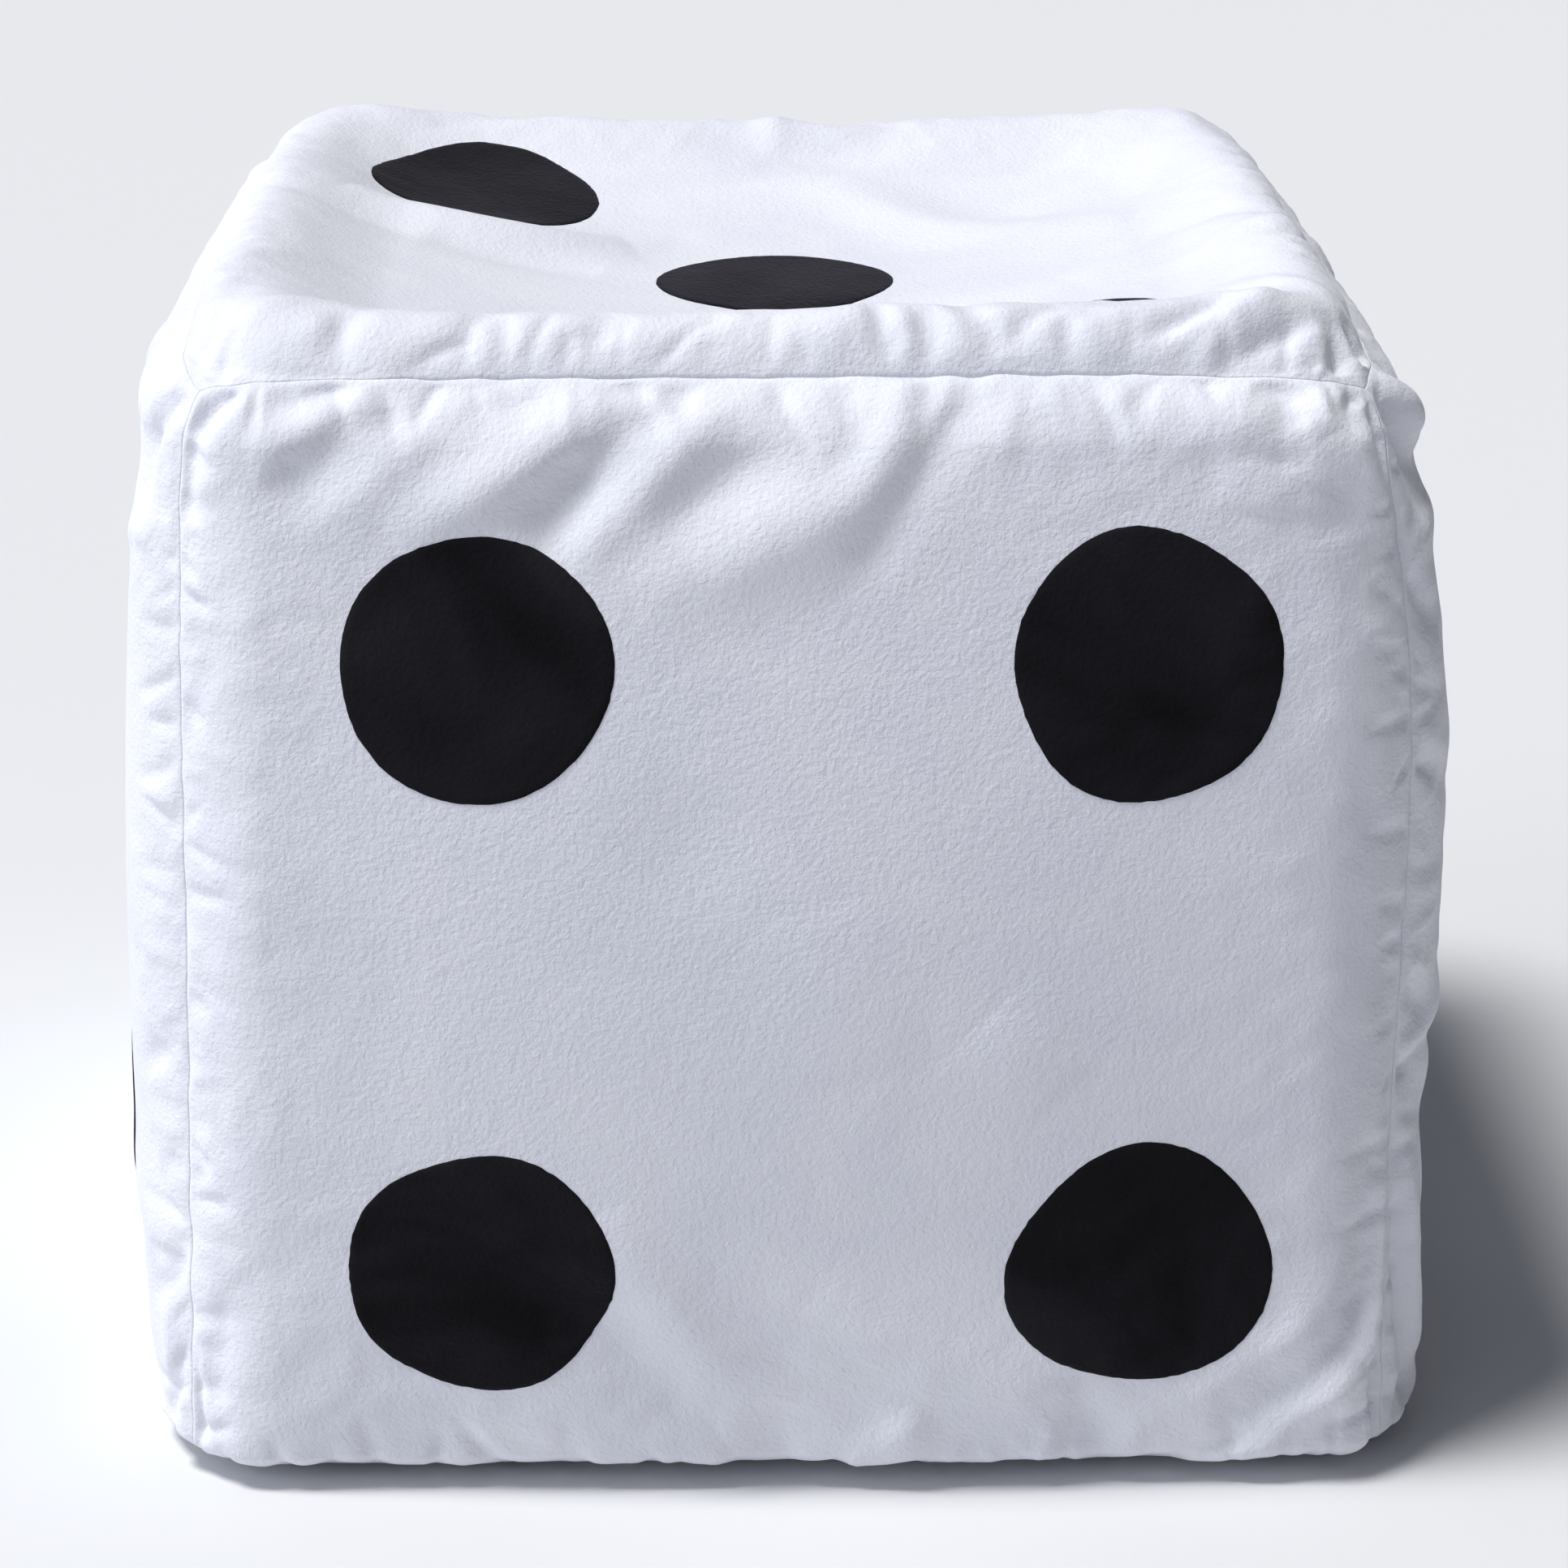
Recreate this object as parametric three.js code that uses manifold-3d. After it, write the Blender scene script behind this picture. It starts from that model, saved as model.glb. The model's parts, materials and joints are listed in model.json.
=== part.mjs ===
// Giant yard die: an inflated cube bladder inside a plush cover that closes with a zip.
// Millimetres. +Z is up, the die stands on z = 0, and the face with four pips looks along -Y.
import * as THREE from 'three';
import Module from 'manifold-3d';

const wasm = await Module();
wasm.setup();

// Cover: half sizes between the flat walls, edge roundings and how far the faces leave the flat.
const HALF = [275, 275, 252];
const SIDE_EDGE_RADIUS = 57;
const TOP_EDGE_RADIUS = 38;
const BOTTOM_EDGE_RADIUS = 18;
const SIDE_BULGE = 23.5;
const TOP_DISH = 30;
const DISH_SHOULDER = 0.86;
const TOP_RIM_RISE = 14.5;
const TOP_RIM_WIDTH = 0.24;
const WIDENING = 0.054;
const COVER_THICKNESS = 2;
const SEAM_GAP = 0.3;
const MERGE_DISTANCE = 0.001;

// Pips: the face is 2 wide in these fractions, so 0.5 is half way from its centre to its seam.
const PIP_RADIUS = 56;
const PIP_SPACING = {
  front: [0.505, 0.531],
  back: [0.52, 0.58],
  left: [0.52, 0.52],
  right: [0.52, 0.52],
  top: [0.52, 0.52],
  bottom: [0.52, 0.52],
};
const FRONT_PIP_SHIFT = [0.036, -0.036];
const PIP_SEGMENTS = 28;
const PIP_CUTTER_LENGTH = 240;

// Bladder: it stays a little inside the cover and does not reach into the cover's corners or its slack top.
const BLADDER_INSET = 3.2;
const BLADDER_SIDE_RADIUS = 75;
const BLADDER_TOP_RADIUS = 60;
const BLADDER_BOTTOM_RADIUS = 40;
const BLADDER_TOP_DROP = 6;
const BLADDER_THICKNESS = 1;
const WEB_THICKNESS = 1;
const WEB_GAP = 0.6;
const WEB_HOLE_RADIUS = 35;
const WEB_HOLE_OFFSET = 135;

// Zip: it runs up the edge between the back and left panels. Sizes across, outwards and along.
const ZIP_START_HEIGHT = 50;
const ZIP_LENGTH = 390;
const ZIP_SLOT_HALF_WIDTH = 4.5;
const ZIP_SLOT_EXTRA = 8;
const ZIP_SLOT_DEPTH = 40;
const TAPE_EXTRA = 14;
const TAPE_OUTER_EDGE = 14;
const TAPE_OUTSIDE = -4.3;
const TAPE_THICKNESS = 0.7;
const CHAIN_INNER_EDGE = 0.9;
const CHAIN_OUTER_EDGE = 3.4;
const CHAIN_OUTSIDE = -1.5;
const CHAIN_INSIDE = -4;
const STOP_LENGTH = 3.7;
const SLIDER_LENGTH = 12;
const SLIDER_HALF_WIDTH = 4.2;
const SLIDER_PLATE_INSIDE = -1.2;
const SLIDER_UNDER_OUTSIDE = -5.3;
const SLIDER_UNDER_INSIDE = -6.5;
const SLIDER_FLANGE_THICKNESS = 0.5;
const SLIDER_POST_HALF_WIDTH = 0.6;
const SLIDER_POST_LENGTH = 5;
const ARCH_HALF_WIDTH = 0.8;
const ARCH_INNER_HALF_LENGTH = 2.6;
const ARCH_OUTER_HALF_LENGTH = 4;
const ARCH_INNER_HEIGHT = 2.2;
const ARCH_OUTER_HEIGHT = 3.2;
const PULL_PIVOT_HEIGHT = 1.1;
const PULL_THICKNESS = 1;
const PULL_HALF_WIDTH = 3.4;
const PULL_LENGTH = 30;
const PULL_EYE_HALF_WIDTH = 1.6;
const PULL_EYE_LENGTH = 5.4;

// Care label: a small flag sewn into the edge between the back and right panels.
const LABEL_THICKNESS = 0.6;
const LABEL_REACH = 24;
const LABEL_WIDTH = 36;
const LABEL_HEIGHT_UP = 88;

// Valve: it sits in a well in the back wall of the bladder, within reach of the open zip.
const VALVE_ACROSS = -0.54;
const VALVE_UP = -0.54;
const VALVE_HOLE_RADIUS = 12.9;
const VALVE_FLANGE_RADIUS = 19;
const WELL_OUTER_RADIUS = 12.4;
const WELL_INNER_RADIUS = 11.2;
const WELL_FLOOR = -12;
const FLANGE_OUTSIDE = -2.8;
const FLANGE_THICKNESS = 1;
const STEM_INNER_RADIUS = 6.5;
const STEM_OUTER_RADIUS = 8;
const STEM_END = -22;
const PLUG_HEAD_RADIUS = 9;
const PLUG_BODY_RADIUS = 6.2;
const PLUG_HEAD_THICKNESS = 1.5;
const PLUG_END = -19;
const FLAP_RADIUS = 7.4;
const FLAP_THICKNESS = 0.6;
const TETHER_INNER_RADIUS = 9.6;
const TETHER_OUTER_RADIUS = 10.6;
const TETHER_THICKNESS = 0.9;
const TETHER_ANGLE = 4.2;
const ROUND_SEGMENTS = 24;

// Where the grid lines of a panel lie, from its centre to its seam. Close lines follow the round edge.
const FINE_LINES = [0, 0.2, 0.38, 0.55, 0.7, 0.82, 0.91, 1];
const COARSE_LINES = [0, 0.38, 0.7, 0.82, 0.91, 1];

const X = 0;
const Y = 1;
const Z = 2;

const FACES = {
  front: { normal: Y, sign: -1, across: X, up: Z, lines: COARSE_LINES },
  back: { normal: Y, sign: 1, across: X, up: Z, lines: COARSE_LINES },
  left: { normal: X, sign: -1, across: Y, up: Z, lines: COARSE_LINES },
  right: { normal: X, sign: 1, across: Y, up: Z, lines: COARSE_LINES },
  top: { normal: Z, sign: 1, across: X, up: Y, lines: FINE_LINES },
  bottom: { normal: Z, sign: -1, across: X, up: Y, lines: COARSE_LINES },
};

const COVER_LAYER = {
  inset: 0,
  sideRadius: SIDE_EDGE_RADIUS,
  topRadius: TOP_EDGE_RADIUS,
  bottomRadius: BOTTOM_EDGE_RADIUS,
  topDrop: 0,
};

const BLADDER_LAYER = {
  inset: BLADDER_INSET,
  sideRadius: BLADDER_SIDE_RADIUS,
  topRadius: BLADDER_TOP_RADIUS,
  bottomRadius: BLADDER_BOTTOM_RADIUS,
  topDrop: BLADDER_TOP_DROP,
};

const PIPS = {
  front: [
    ['upper_left', -1, 1], ['upper_right', 1, 1], ['lower_left', -1, -1], ['lower_right', 1, -1],
  ],
  top: [
    ['back_left', -1, 1], ['centre', 0, 0], ['front_right', 0.9, -1.1],
  ],
  left: [
    ['lower_front', -1, -1], ['upper_back', 1, 1],
  ],
  right: [
    ['upper_front', -1, 1], ['upper_back', 1, 1], ['centre', 0, 0],
    ['lower_front', -1, -1], ['lower_back', 1, -1],
  ],
  back: [
    ['upper_left', -1, 1], ['upper_right', 1, 1], ['middle_left', -1, 0],
    ['middle_right', 1, 0], ['lower_left', -1, -1], ['lower_right', 1, -1],
  ],
  bottom: [
    ['centre', 0, 0],
  ],
};

const MATERIALS = {
  white_velour: { color: '#e9eaf0', roughness: 0.95, metalness: 0 },
  black_velour: { color: '#141216', roughness: 0.95, metalness: 0 },
  bladder_vinyl: { color: '#c9ccd2', roughness: 0.35, metalness: 0 },
  zip_tape: { color: '#eeeef2', roughness: 0.9, metalness: 0 },
  zip_coil: { color: '#f4f4f4', roughness: 0.4, metalness: 0 },
  zip_metal: { color: '#dfe0e2', roughness: 0.35, metalness: 0.6 },
  label_satin: { color: '#f8f8f8', roughness: 0.6, metalness: 0 },
  valve_vinyl: { color: '#dfe3e8', roughness: 0.4, metalness: 0 },
};

const die = new THREE.Group();
die.name = 'giant_yard_die';

function addMesh(name, geometry, material) {
  const mesh = new THREE.Mesh(geometry, new THREE.MeshStandardMaterial(MATERIALS[material]));
  mesh.name = name;
  die.add(mesh);
}

function clamp(value, low, high) {
  return Math.min(Math.max(value, low), high);
}

// How far a face stands out of its flat wall: the sides swell, the top is dished inside a raised rim,
// and the bottom is flat.
function faceSwell(face, across, up) {
  if (face.normal !== Z) {
    return SIDE_BULGE * (1 - across * across) * (1 - up * up);
  }
  if (face.sign < 0) {
    return 0;
  }
  const fromSeam = 1 - Math.max(Math.abs(across), Math.abs(up));
  const rim = TOP_RIM_RISE * Math.sin(Math.PI * clamp(fromSeam / TOP_RIM_WIDTH, 0, 1));
  const inwards = clamp(fromSeam / DISH_SHOULDER, 0, 1);
  return rim - TOP_DISH * inwards * inwards * (3 - 2 * inwards);
}

// A point of the rounded, swollen cube. across and up run from -1 to 1 between the seams.
function skinPoint(face, across, up, depth, layer) {
  const half = HALF.map((value) => value - layer.inset);
  const flat = [0, 0, 0];
  flat[face.across] = across * half[face.across];
  flat[face.up] = up * half[face.up];
  flat[face.normal] = face.sign * half[face.normal];
  const verticalRadius = flat[Z] > 0 ? layer.topRadius : layer.bottomRadius;
  const radius = [layer.sideRadius, layer.sideRadius, verticalRadius];
  const core = flat.map((value, i) => clamp(value, radius[i] - half[i], half[i] - radius[i]));
  const lean = flat.map((value, i) => (value - core[i]) / radius[i]);
  const length = Math.hypot(...lean);
  const point = core.map((value, i) => value + ((radius[i] - depth) * lean[i]) / length);
  const swell = faceSwell(face, flat[face.across] / HALF[face.across], flat[face.up] / HALF[face.up]);
  const drop = face === FACES.top ? layer.topDrop : 0;
  point[face.normal] += face.sign * (swell - drop);
  point[Z] += HALF[Z];
  const spread = 1 + WIDENING * (0.5 - point[Z] / (2 * HALF[Z]));
  return new THREE.Vector3(point[X] * spread, point[Y] * spread, point[Z]);
}

function mirrored(lines) {
  const low = lines.slice(1).reverse().map((value) => -value);
  return low.concat(lines);
}

function solid(points, triangles) {
  const vertProperties = new Float32Array(points.flatMap((point) => [point.x, point.y, point.z]));
  const mesh = new wasm.Mesh({ numProp: 3, vertProperties, triVerts: new Uint32Array(triangles) });
  return new wasm.Manifold(mesh);
}

function toGeometry(body) {
  const mesh = body.getMesh();
  const geometry = new THREE.BufferGeometry();
  geometry.setAttribute('position', new THREE.BufferAttribute(new Float32Array(mesh.vertProperties), 3));
  geometry.setIndex(new THREE.BufferAttribute(new Uint32Array(mesh.triVerts), 1));
  geometry.computeVertexNormals();
  return geometry;
}

// Joins the repeated points of a three.js geometry, so that it can cut or be cut.
function solidFrom(geometry) {
  const position = geometry.getAttribute('position');
  const places = new Map();
  const points = [];
  const joined = [];
  for (let i = 0; i < position.count; i += 1) {
    const point = new THREE.Vector3().fromBufferAttribute(position, i);
    const key = point.toArray().map((value) => Math.round(value / MERGE_DISTANCE)).join(',');
    if (!places.has(key)) {
      places.set(key, points.length);
      points.push(point);
    }
    joined.push(places.get(key));
  }
  const corners = geometry.index ? Array.from(geometry.index.array) : joined.map((_, i) => i);
  const triangles = [];
  for (let i = 0; i < corners.length; i += 3) {
    const triangle = corners.slice(i, i + 3).map((corner) => joined[corner]);
    if (new Set(triangle).size === 3) {
      triangles.push(...triangle);
    }
  }
  return solid(points, triangles);
}

// One panel of a layer, with its outside at one depth and its inside at another.
function panelSolid(face, layer, outside, inside) {
  const lines = mirrored(face.lines);
  const count = lines.length;
  const trims = [face.across, face.up].map((axis) => 1 - SEAM_GAP / HALF[axis]);
  const points = [outside, inside].flatMap((depth) =>
    lines.flatMap((up) =>
      lines.map((across) => skinPoint(face, across * trims[0], up * trims[1], depth, layer))));
  const index = (side, row, column) => side * count * count + row * count + column;
  const rightHanded = (face.normal === Y) !== (face.sign > 0);
  const triangles = [];
  const quad = (a, b, c, d) => {
    const corners = rightHanded ? [a, b, c, a, c, d] : [a, c, b, a, d, c];
    triangles.push(...corners);
  };
  for (let row = 0; row < count - 1; row += 1) {
    for (let column = 0; column < count - 1; column += 1) {
      const corner = (side, dr, dc) => index(side, row + dr, column + dc);
      quad(corner(0, 0, 0), corner(0, 0, 1), corner(0, 1, 1), corner(0, 1, 0));
      quad(corner(1, 0, 0), corner(1, 1, 0), corner(1, 1, 1), corner(1, 0, 1));
    }
  }
  const last = count - 1;
  for (let step = 0; step < last; step += 1) {
    quad(index(0, 0, step), index(1, 0, step), index(1, 0, step + 1), index(0, 0, step + 1));
    quad(index(0, step, last), index(1, step, last), index(1, step + 1, last), index(0, step + 1, last));
    quad(index(0, last, step + 1), index(1, last, step + 1), index(1, last, step), index(0, last, step));
    quad(index(0, step + 1, 0), index(1, step + 1, 0), index(1, step, 0), index(0, step, 0));
  }
  return solid(points, triangles);
}

// A round bar with its axis along the face's normal, centred on a point.
function pipCutter(face, centre, radius) {
  const points = [];
  const triangles = [];
  const axis = new THREE.Vector3().setComponent(face.normal, 1);
  const first = new THREE.Vector3().setComponent(face.across, 1);
  const second = new THREE.Vector3().crossVectors(axis, first);
  for (let i = 0; i < PIP_SEGMENTS; i += 1) {
    const angle = (2 * Math.PI * i) / PIP_SEGMENTS;
    for (const end of [-0.5, 0.5]) {
      const point = centre.clone()
        .addScaledVector(first, radius * Math.cos(angle))
        .addScaledVector(second, radius * Math.sin(angle))
        .addScaledVector(axis, end * PIP_CUTTER_LENGTH);
      points.push(point);
    }
    const next = (i + 1) % PIP_SEGMENTS;
    triangles.push(2 * i, 2 * next, 2 * next + 1, 2 * i, 2 * next + 1, 2 * i + 1);
    if (i > 0 && i < PIP_SEGMENTS - 1) {
      triangles.push(0, 2 * next, 2 * i, 1, 2 * i + 1, 2 * next + 1);
    }
  }
  return solid(points, triangles);
}

// A local frame: its X is across, its Y points outwards and its Z runs along.
function frameMatrix(origin, outwards, along) {
  const across = new THREE.Vector3().crossVectors(outwards, along).normalize();
  return new THREE.Matrix4().makeBasis(across, outwards, along).setPosition(origin);
}

// The frame of a vertical edge. Its origin lies on the seam at a height, and its Z runs up the seam.
function edgeFrame(face, end, height) {
  const upOf = (level) => (level - HALF[Z]) / HALF[Z];
  const origin = skinPoint(face, end, upOf(height), 0, COVER_LAYER);
  const above = skinPoint(face, end, upOf(height + ZIP_LENGTH / 2), 0, COVER_LAYER);
  const along = above.sub(origin).normalize();
  const outwards = new THREE.Vector3(origin.x, origin.y, 0).normalize();
  outwards.addScaledVector(along, -outwards.dot(along)).normalize();
  return frameMatrix(origin, outwards, along);
}

// A box between two corners given as [across, outwards, along].
function boxGeometry(low, high) {
  const size = high.map((value, i) => value - low[i]);
  const geometry = new THREE.BoxGeometry(...size);
  geometry.translate(...low.map((value, i) => value + size[i] / 2));
  return geometry;
}

function boxSolid(low, high) {
  const corners = [];
  for (let i = 0; i < 8; i += 1) {
    corners.push(new THREE.Vector3(
      i & 1 ? high[X] : low[X],
      i & 2 ? high[Y] : low[Y],
      i & 4 ? high[Z] : low[Z],
    ));
  }
  return solid(corners, [
    0, 2, 3, 0, 3, 1, 4, 5, 7, 4, 7, 6, 0, 1, 5, 0, 5, 4,
    2, 6, 7, 2, 7, 3, 0, 4, 6, 0, 6, 2, 1, 3, 7, 1, 7, 5,
  ]);
}

const zipFrame = edgeFrame(FACES.back, -1, ZIP_START_HEIGHT);

// Six panels, their pips set flush into round openings, and the slot for the zip.
function buildCover() {
  const slot = boxSolid(
    [-ZIP_SLOT_HALF_WIDTH, -ZIP_SLOT_DEPTH, -ZIP_SLOT_EXTRA],
    [ZIP_SLOT_HALF_WIDTH, ZIP_SLOT_DEPTH, ZIP_LENGTH + ZIP_SLOT_EXTRA],
  ).transform(zipFrame.elements);
  for (const [faceName, face] of Object.entries(FACES)) {
    let panel = panelSolid(face, COVER_LAYER, 0, COVER_THICKNESS);
    const [columnSpacing, rowSpacing] = PIP_SPACING[faceName];
    const shift = faceName === 'front' ? FRONT_PIP_SHIFT : [0, 0];
    for (const [pipName, across, up] of PIPS[faceName]) {
      const place = [across * columnSpacing + shift[0], up * rowSpacing + shift[1]];
      const centre = skinPoint(face, ...place, 0, COVER_LAYER);
      const pip = panel.intersect(pipCutter(face, centre, PIP_RADIUS));
      addMesh(`pip_${faceName}_${pipName}`, toGeometry(pip), 'black_velour');
      panel = panel.subtract(pipCutter(face, centre, PIP_RADIUS + SEAM_GAP));
    }
    if (faceName === 'back' || faceName === 'left') {
      panel = panel.subtract(slot);
    }
    addMesh(`cover_${faceName}`, toGeometry(panel), 'white_velour');
  }
}

function addZipMesh(name, geometry, material) {
  geometry.applyMatrix4(zipFrame);
  addMesh(name, geometry, material);
}

// Two tapes and two rows of coil, a mirrored pair on each side of the slot.
function buildZipChain() {
  for (const [side, direction] of [['left', -1], ['back', 1]]) {
    const between = (inner, outer) => [direction * inner, direction * outer].sort((a, b) => a - b);
    const tape = between(CHAIN_INNER_EDGE, TAPE_OUTER_EDGE);
    addZipMesh(`zip_tape_${side}`, boxGeometry(
      [tape[0], TAPE_OUTSIDE - TAPE_THICKNESS, -TAPE_EXTRA],
      [tape[1], TAPE_OUTSIDE, ZIP_LENGTH + TAPE_EXTRA],
    ), 'zip_tape');
    const coil = between(CHAIN_INNER_EDGE, CHAIN_OUTER_EDGE);
    addZipMesh(`zip_coil_${side}`, boxGeometry(
      [coil[0], CHAIN_INSIDE, 0],
      [coil[1], CHAIN_OUTSIDE, ZIP_LENGTH],
    ), 'zip_coil');
  }
  const stops = [['bottom', -SEAM_GAP - STOP_LENGTH], ['top', ZIP_LENGTH + SEAM_GAP]];
  for (const [end, start] of stops) {
    addZipMesh(`zip_${end}_stop`, boxGeometry(
      [-CHAIN_OUTER_EDGE, CHAIN_INSIDE, start],
      [CHAIN_OUTER_EDGE, CHAIN_OUTSIDE, start + STOP_LENGTH],
    ), 'zip_metal');
  }
}

// The slider grips the tapes from both sides. Its post runs in the gap between the two coils.
function buildZipSlider() {
  const low = SEAM_GAP;
  const high = SEAM_GAP + SLIDER_LENGTH;
  const middle = (low + high) / 2;
  const flangeInside = CHAIN_INSIDE;
  let slider = boxSolid([-SLIDER_HALF_WIDTH, SLIDER_PLATE_INSIDE, low], [SLIDER_HALF_WIDTH, 0, high]);
  slider = slider.add(boxSolid(
    [-SLIDER_HALF_WIDTH, SLIDER_UNDER_INSIDE, low],
    [SLIDER_HALF_WIDTH, SLIDER_UNDER_OUTSIDE, high],
  ));
  slider = slider.add(boxSolid(
    [-SLIDER_POST_HALF_WIDTH, SLIDER_UNDER_INSIDE, high - SLIDER_POST_LENGTH],
    [SLIDER_POST_HALF_WIDTH, 0, high],
  ));
  for (const side of [-1, 1]) {
    const edges = [side * (SLIDER_HALF_WIDTH - SLIDER_FLANGE_THICKNESS), side * SLIDER_HALF_WIDTH];
    edges.sort((a, b) => a - b);
    slider = slider.add(boxSolid([edges[0], flangeInside, low], [edges[1], 0, high]));
  }
  const arch = boxSolid(
    [-ARCH_HALF_WIDTH, SLIDER_PLATE_INSIDE, middle - ARCH_OUTER_HALF_LENGTH],
    [ARCH_HALF_WIDTH, ARCH_OUTER_HEIGHT, middle + ARCH_OUTER_HALF_LENGTH],
  );
  const opening = boxSolid(
    [-SLIDER_HALF_WIDTH, 0, middle - ARCH_INNER_HALF_LENGTH],
    [SLIDER_HALF_WIDTH, ARCH_INNER_HEIGHT, middle + ARCH_INNER_HALF_LENGTH],
  );
  slider = slider.add(arch.subtract(opening));
  addZipMesh('zip_slider', toGeometry(slider), 'zip_metal');
}

// The pull hangs down from its bar, which passes under the slider's arch.
function buildZipPull() {
  const pivot = SEAM_GAP + SLIDER_LENGTH / 2;
  const inside = PULL_PIVOT_HEIGHT - PULL_THICKNESS / 2;
  const outside = PULL_PIVOT_HEIGHT + PULL_THICKNESS / 2;
  const bar = PULL_THICKNESS / 2;
  const plate = boxSolid([-PULL_HALF_WIDTH, inside, pivot - PULL_LENGTH], [PULL_HALF_WIDTH, outside, pivot + bar]);
  const eye = boxSolid(
    [-PULL_EYE_HALF_WIDTH, inside - PULL_THICKNESS, pivot - PULL_EYE_LENGTH],
    [PULL_EYE_HALF_WIDTH, outside + PULL_THICKNESS, pivot - bar],
  );
  addZipMesh('zip_pull', toGeometry(plate.subtract(eye)), 'zip_metal');
}

// A blank flag that stands out of the seam between the back and right panels.
function buildLabel() {
  const geometry = boxGeometry(
    [-LABEL_THICKNESS / 2, SEAM_GAP, -LABEL_WIDTH / 2],
    [LABEL_THICKNESS / 2, SEAM_GAP + LABEL_REACH, LABEL_WIDTH / 2],
  );
  geometry.applyMatrix4(edgeFrame(FACES.back, 1, LABEL_HEIGHT_UP));
  addMesh('care_label', geometry, 'label_satin');
}

// The frame of the valve: its Y points out of the bladder's back wall and its Z runs up the wall.
function valveFrame() {
  const at = (across, up) => skinPoint(FACES.back, across, up, 0, BLADDER_LAYER);
  const step = 0.01;
  const origin = at(VALVE_ACROSS, VALVE_UP);
  const sideways = at(VALVE_ACROSS + step, VALVE_UP).sub(origin);
  const upwards = at(VALVE_ACROSS, VALVE_UP + step).sub(origin);
  const outwards = new THREE.Vector3().crossVectors(upwards, sideways).normalize();
  const along = upwards.addScaledVector(outwards, -upwards.dot(outwards)).normalize();
  return frameMatrix(origin, outwards, along);
}

// A turned piece about the valve's Y axis, from [radius, height] pairs.
function turned(profile) {
  return new THREE.LatheGeometry(profile.map(([r, y]) => new THREE.Vector2(r, y)), ROUND_SEGMENTS);
}

function buildValve(frame) {
  const flangeInside = FLANGE_OUTSIDE - FLANGE_THICKNESS;
  const floorInside = WELL_FLOOR - FLANGE_THICKNESS;
  const body = turned([
    [WELL_INNER_RADIUS, FLANGE_OUTSIDE], [WELL_INNER_RADIUS, WELL_FLOOR],
    [STEM_INNER_RADIUS, WELL_FLOOR], [STEM_INNER_RADIUS, STEM_END],
    [STEM_OUTER_RADIUS, STEM_END], [STEM_OUTER_RADIUS, floorInside],
    [WELL_OUTER_RADIUS, floorInside], [WELL_OUTER_RADIUS, flangeInside],
    [VALVE_FLANGE_RADIUS, flangeInside], [VALVE_FLANGE_RADIUS, FLANGE_OUTSIDE],
    [WELL_INNER_RADIUS, FLANGE_OUTSIDE],
  ]);
  const headInside = WELL_FLOOR + SEAM_GAP;
  const headOutside = headInside + PLUG_HEAD_THICKNESS;
  const plug = turned([
    [0, PLUG_END], [PLUG_BODY_RADIUS, PLUG_END], [PLUG_BODY_RADIUS, headInside],
    [PLUG_HEAD_RADIUS, headInside], [PLUG_HEAD_RADIUS, headOutside], [0, headOutside],
  ]);
  const flapOutside = STEM_END - SEAM_GAP;
  const flap = turned([
    [0, flapOutside - FLAP_THICKNESS], [FLAP_RADIUS, flapOutside - FLAP_THICKNESS],
    [FLAP_RADIUS, flapOutside], [0, flapOutside],
  ]);
  const arc = new THREE.Shape();
  arc.absarc(0, 0, TETHER_OUTER_RADIUS, 0, TETHER_ANGLE, false);
  arc.absarc(0, 0, TETHER_INNER_RADIUS, TETHER_ANGLE, 0, true);
  const tether = new THREE.ExtrudeGeometry(arc, {
    depth: TETHER_THICKNESS,
    bevelEnabled: false,
    curveSegments: ROUND_SEGMENTS,
  });
  tether.rotateX(-Math.PI / 2);
  tether.translate(0, headInside, 0);
  const pieces = [['valve_body', body], ['valve_plug', plug], ['valve_flap', flap], ['valve_tether', tether]];
  for (const [name, geometry] of pieces) {
    geometry.applyMatrix4(frame);
    addMesh(name, geometry, 'valve_vinyl');
  }
}

// The bladder's walls. The back wall has a round hole for the valve.
function buildBladder(frame) {
  for (const [faceName, face] of Object.entries(FACES)) {
    let wall = panelSolid(face, BLADDER_LAYER, 0, BLADDER_THICKNESS);
    if (faceName === 'back') {
      const hole = turned([
        [0, -ZIP_SLOT_DEPTH], [VALVE_HOLE_RADIUS, -ZIP_SLOT_DEPTH],
        [VALVE_HOLE_RADIUS, ZIP_SLOT_DEPTH], [0, ZIP_SLOT_DEPTH],
      ]);
      wall = wall.subtract(solidFrom(hole).transform(frame.elements));
    }
    addMesh(`bladder_${faceName}`, toGeometry(wall), 'bladder_vinyl');
  }
}

// The inside of the bladder on a middle plane, as [outwards, height] pairs going round it. It cuts
// across the corners, clear of the welds.
function webOutline(low, high) {
  const depth = BLADDER_THICKNESS + WEB_GAP;
  const sides = mirrored(COARSE_LINES).slice(1, -1);
  const tops = mirrored(FINE_LINES).reverse();
  const bottoms = mirrored(COARSE_LINES).slice(1, -1);
  const wall = (face, up) => skinPoint(face, 0, up, depth, BLADDER_LAYER);
  const level = (face, value) => (low.normal === Y
    ? skinPoint(face, 0, value, depth, BLADDER_LAYER)
    : skinPoint(face, value, 0, depth, BLADDER_LAYER));
  const points = [
    ...sides.map((up) => wall(high, up)),
    ...tops.map((value) => level(FACES.top, value)),
    ...sides.slice().reverse().map((up) => wall(low, up)),
    ...bottoms.map((value) => level(FACES.bottom, value)),
  ];
  return points.map((point) => [point.getComponent(low.normal), point.z]);
}

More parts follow.
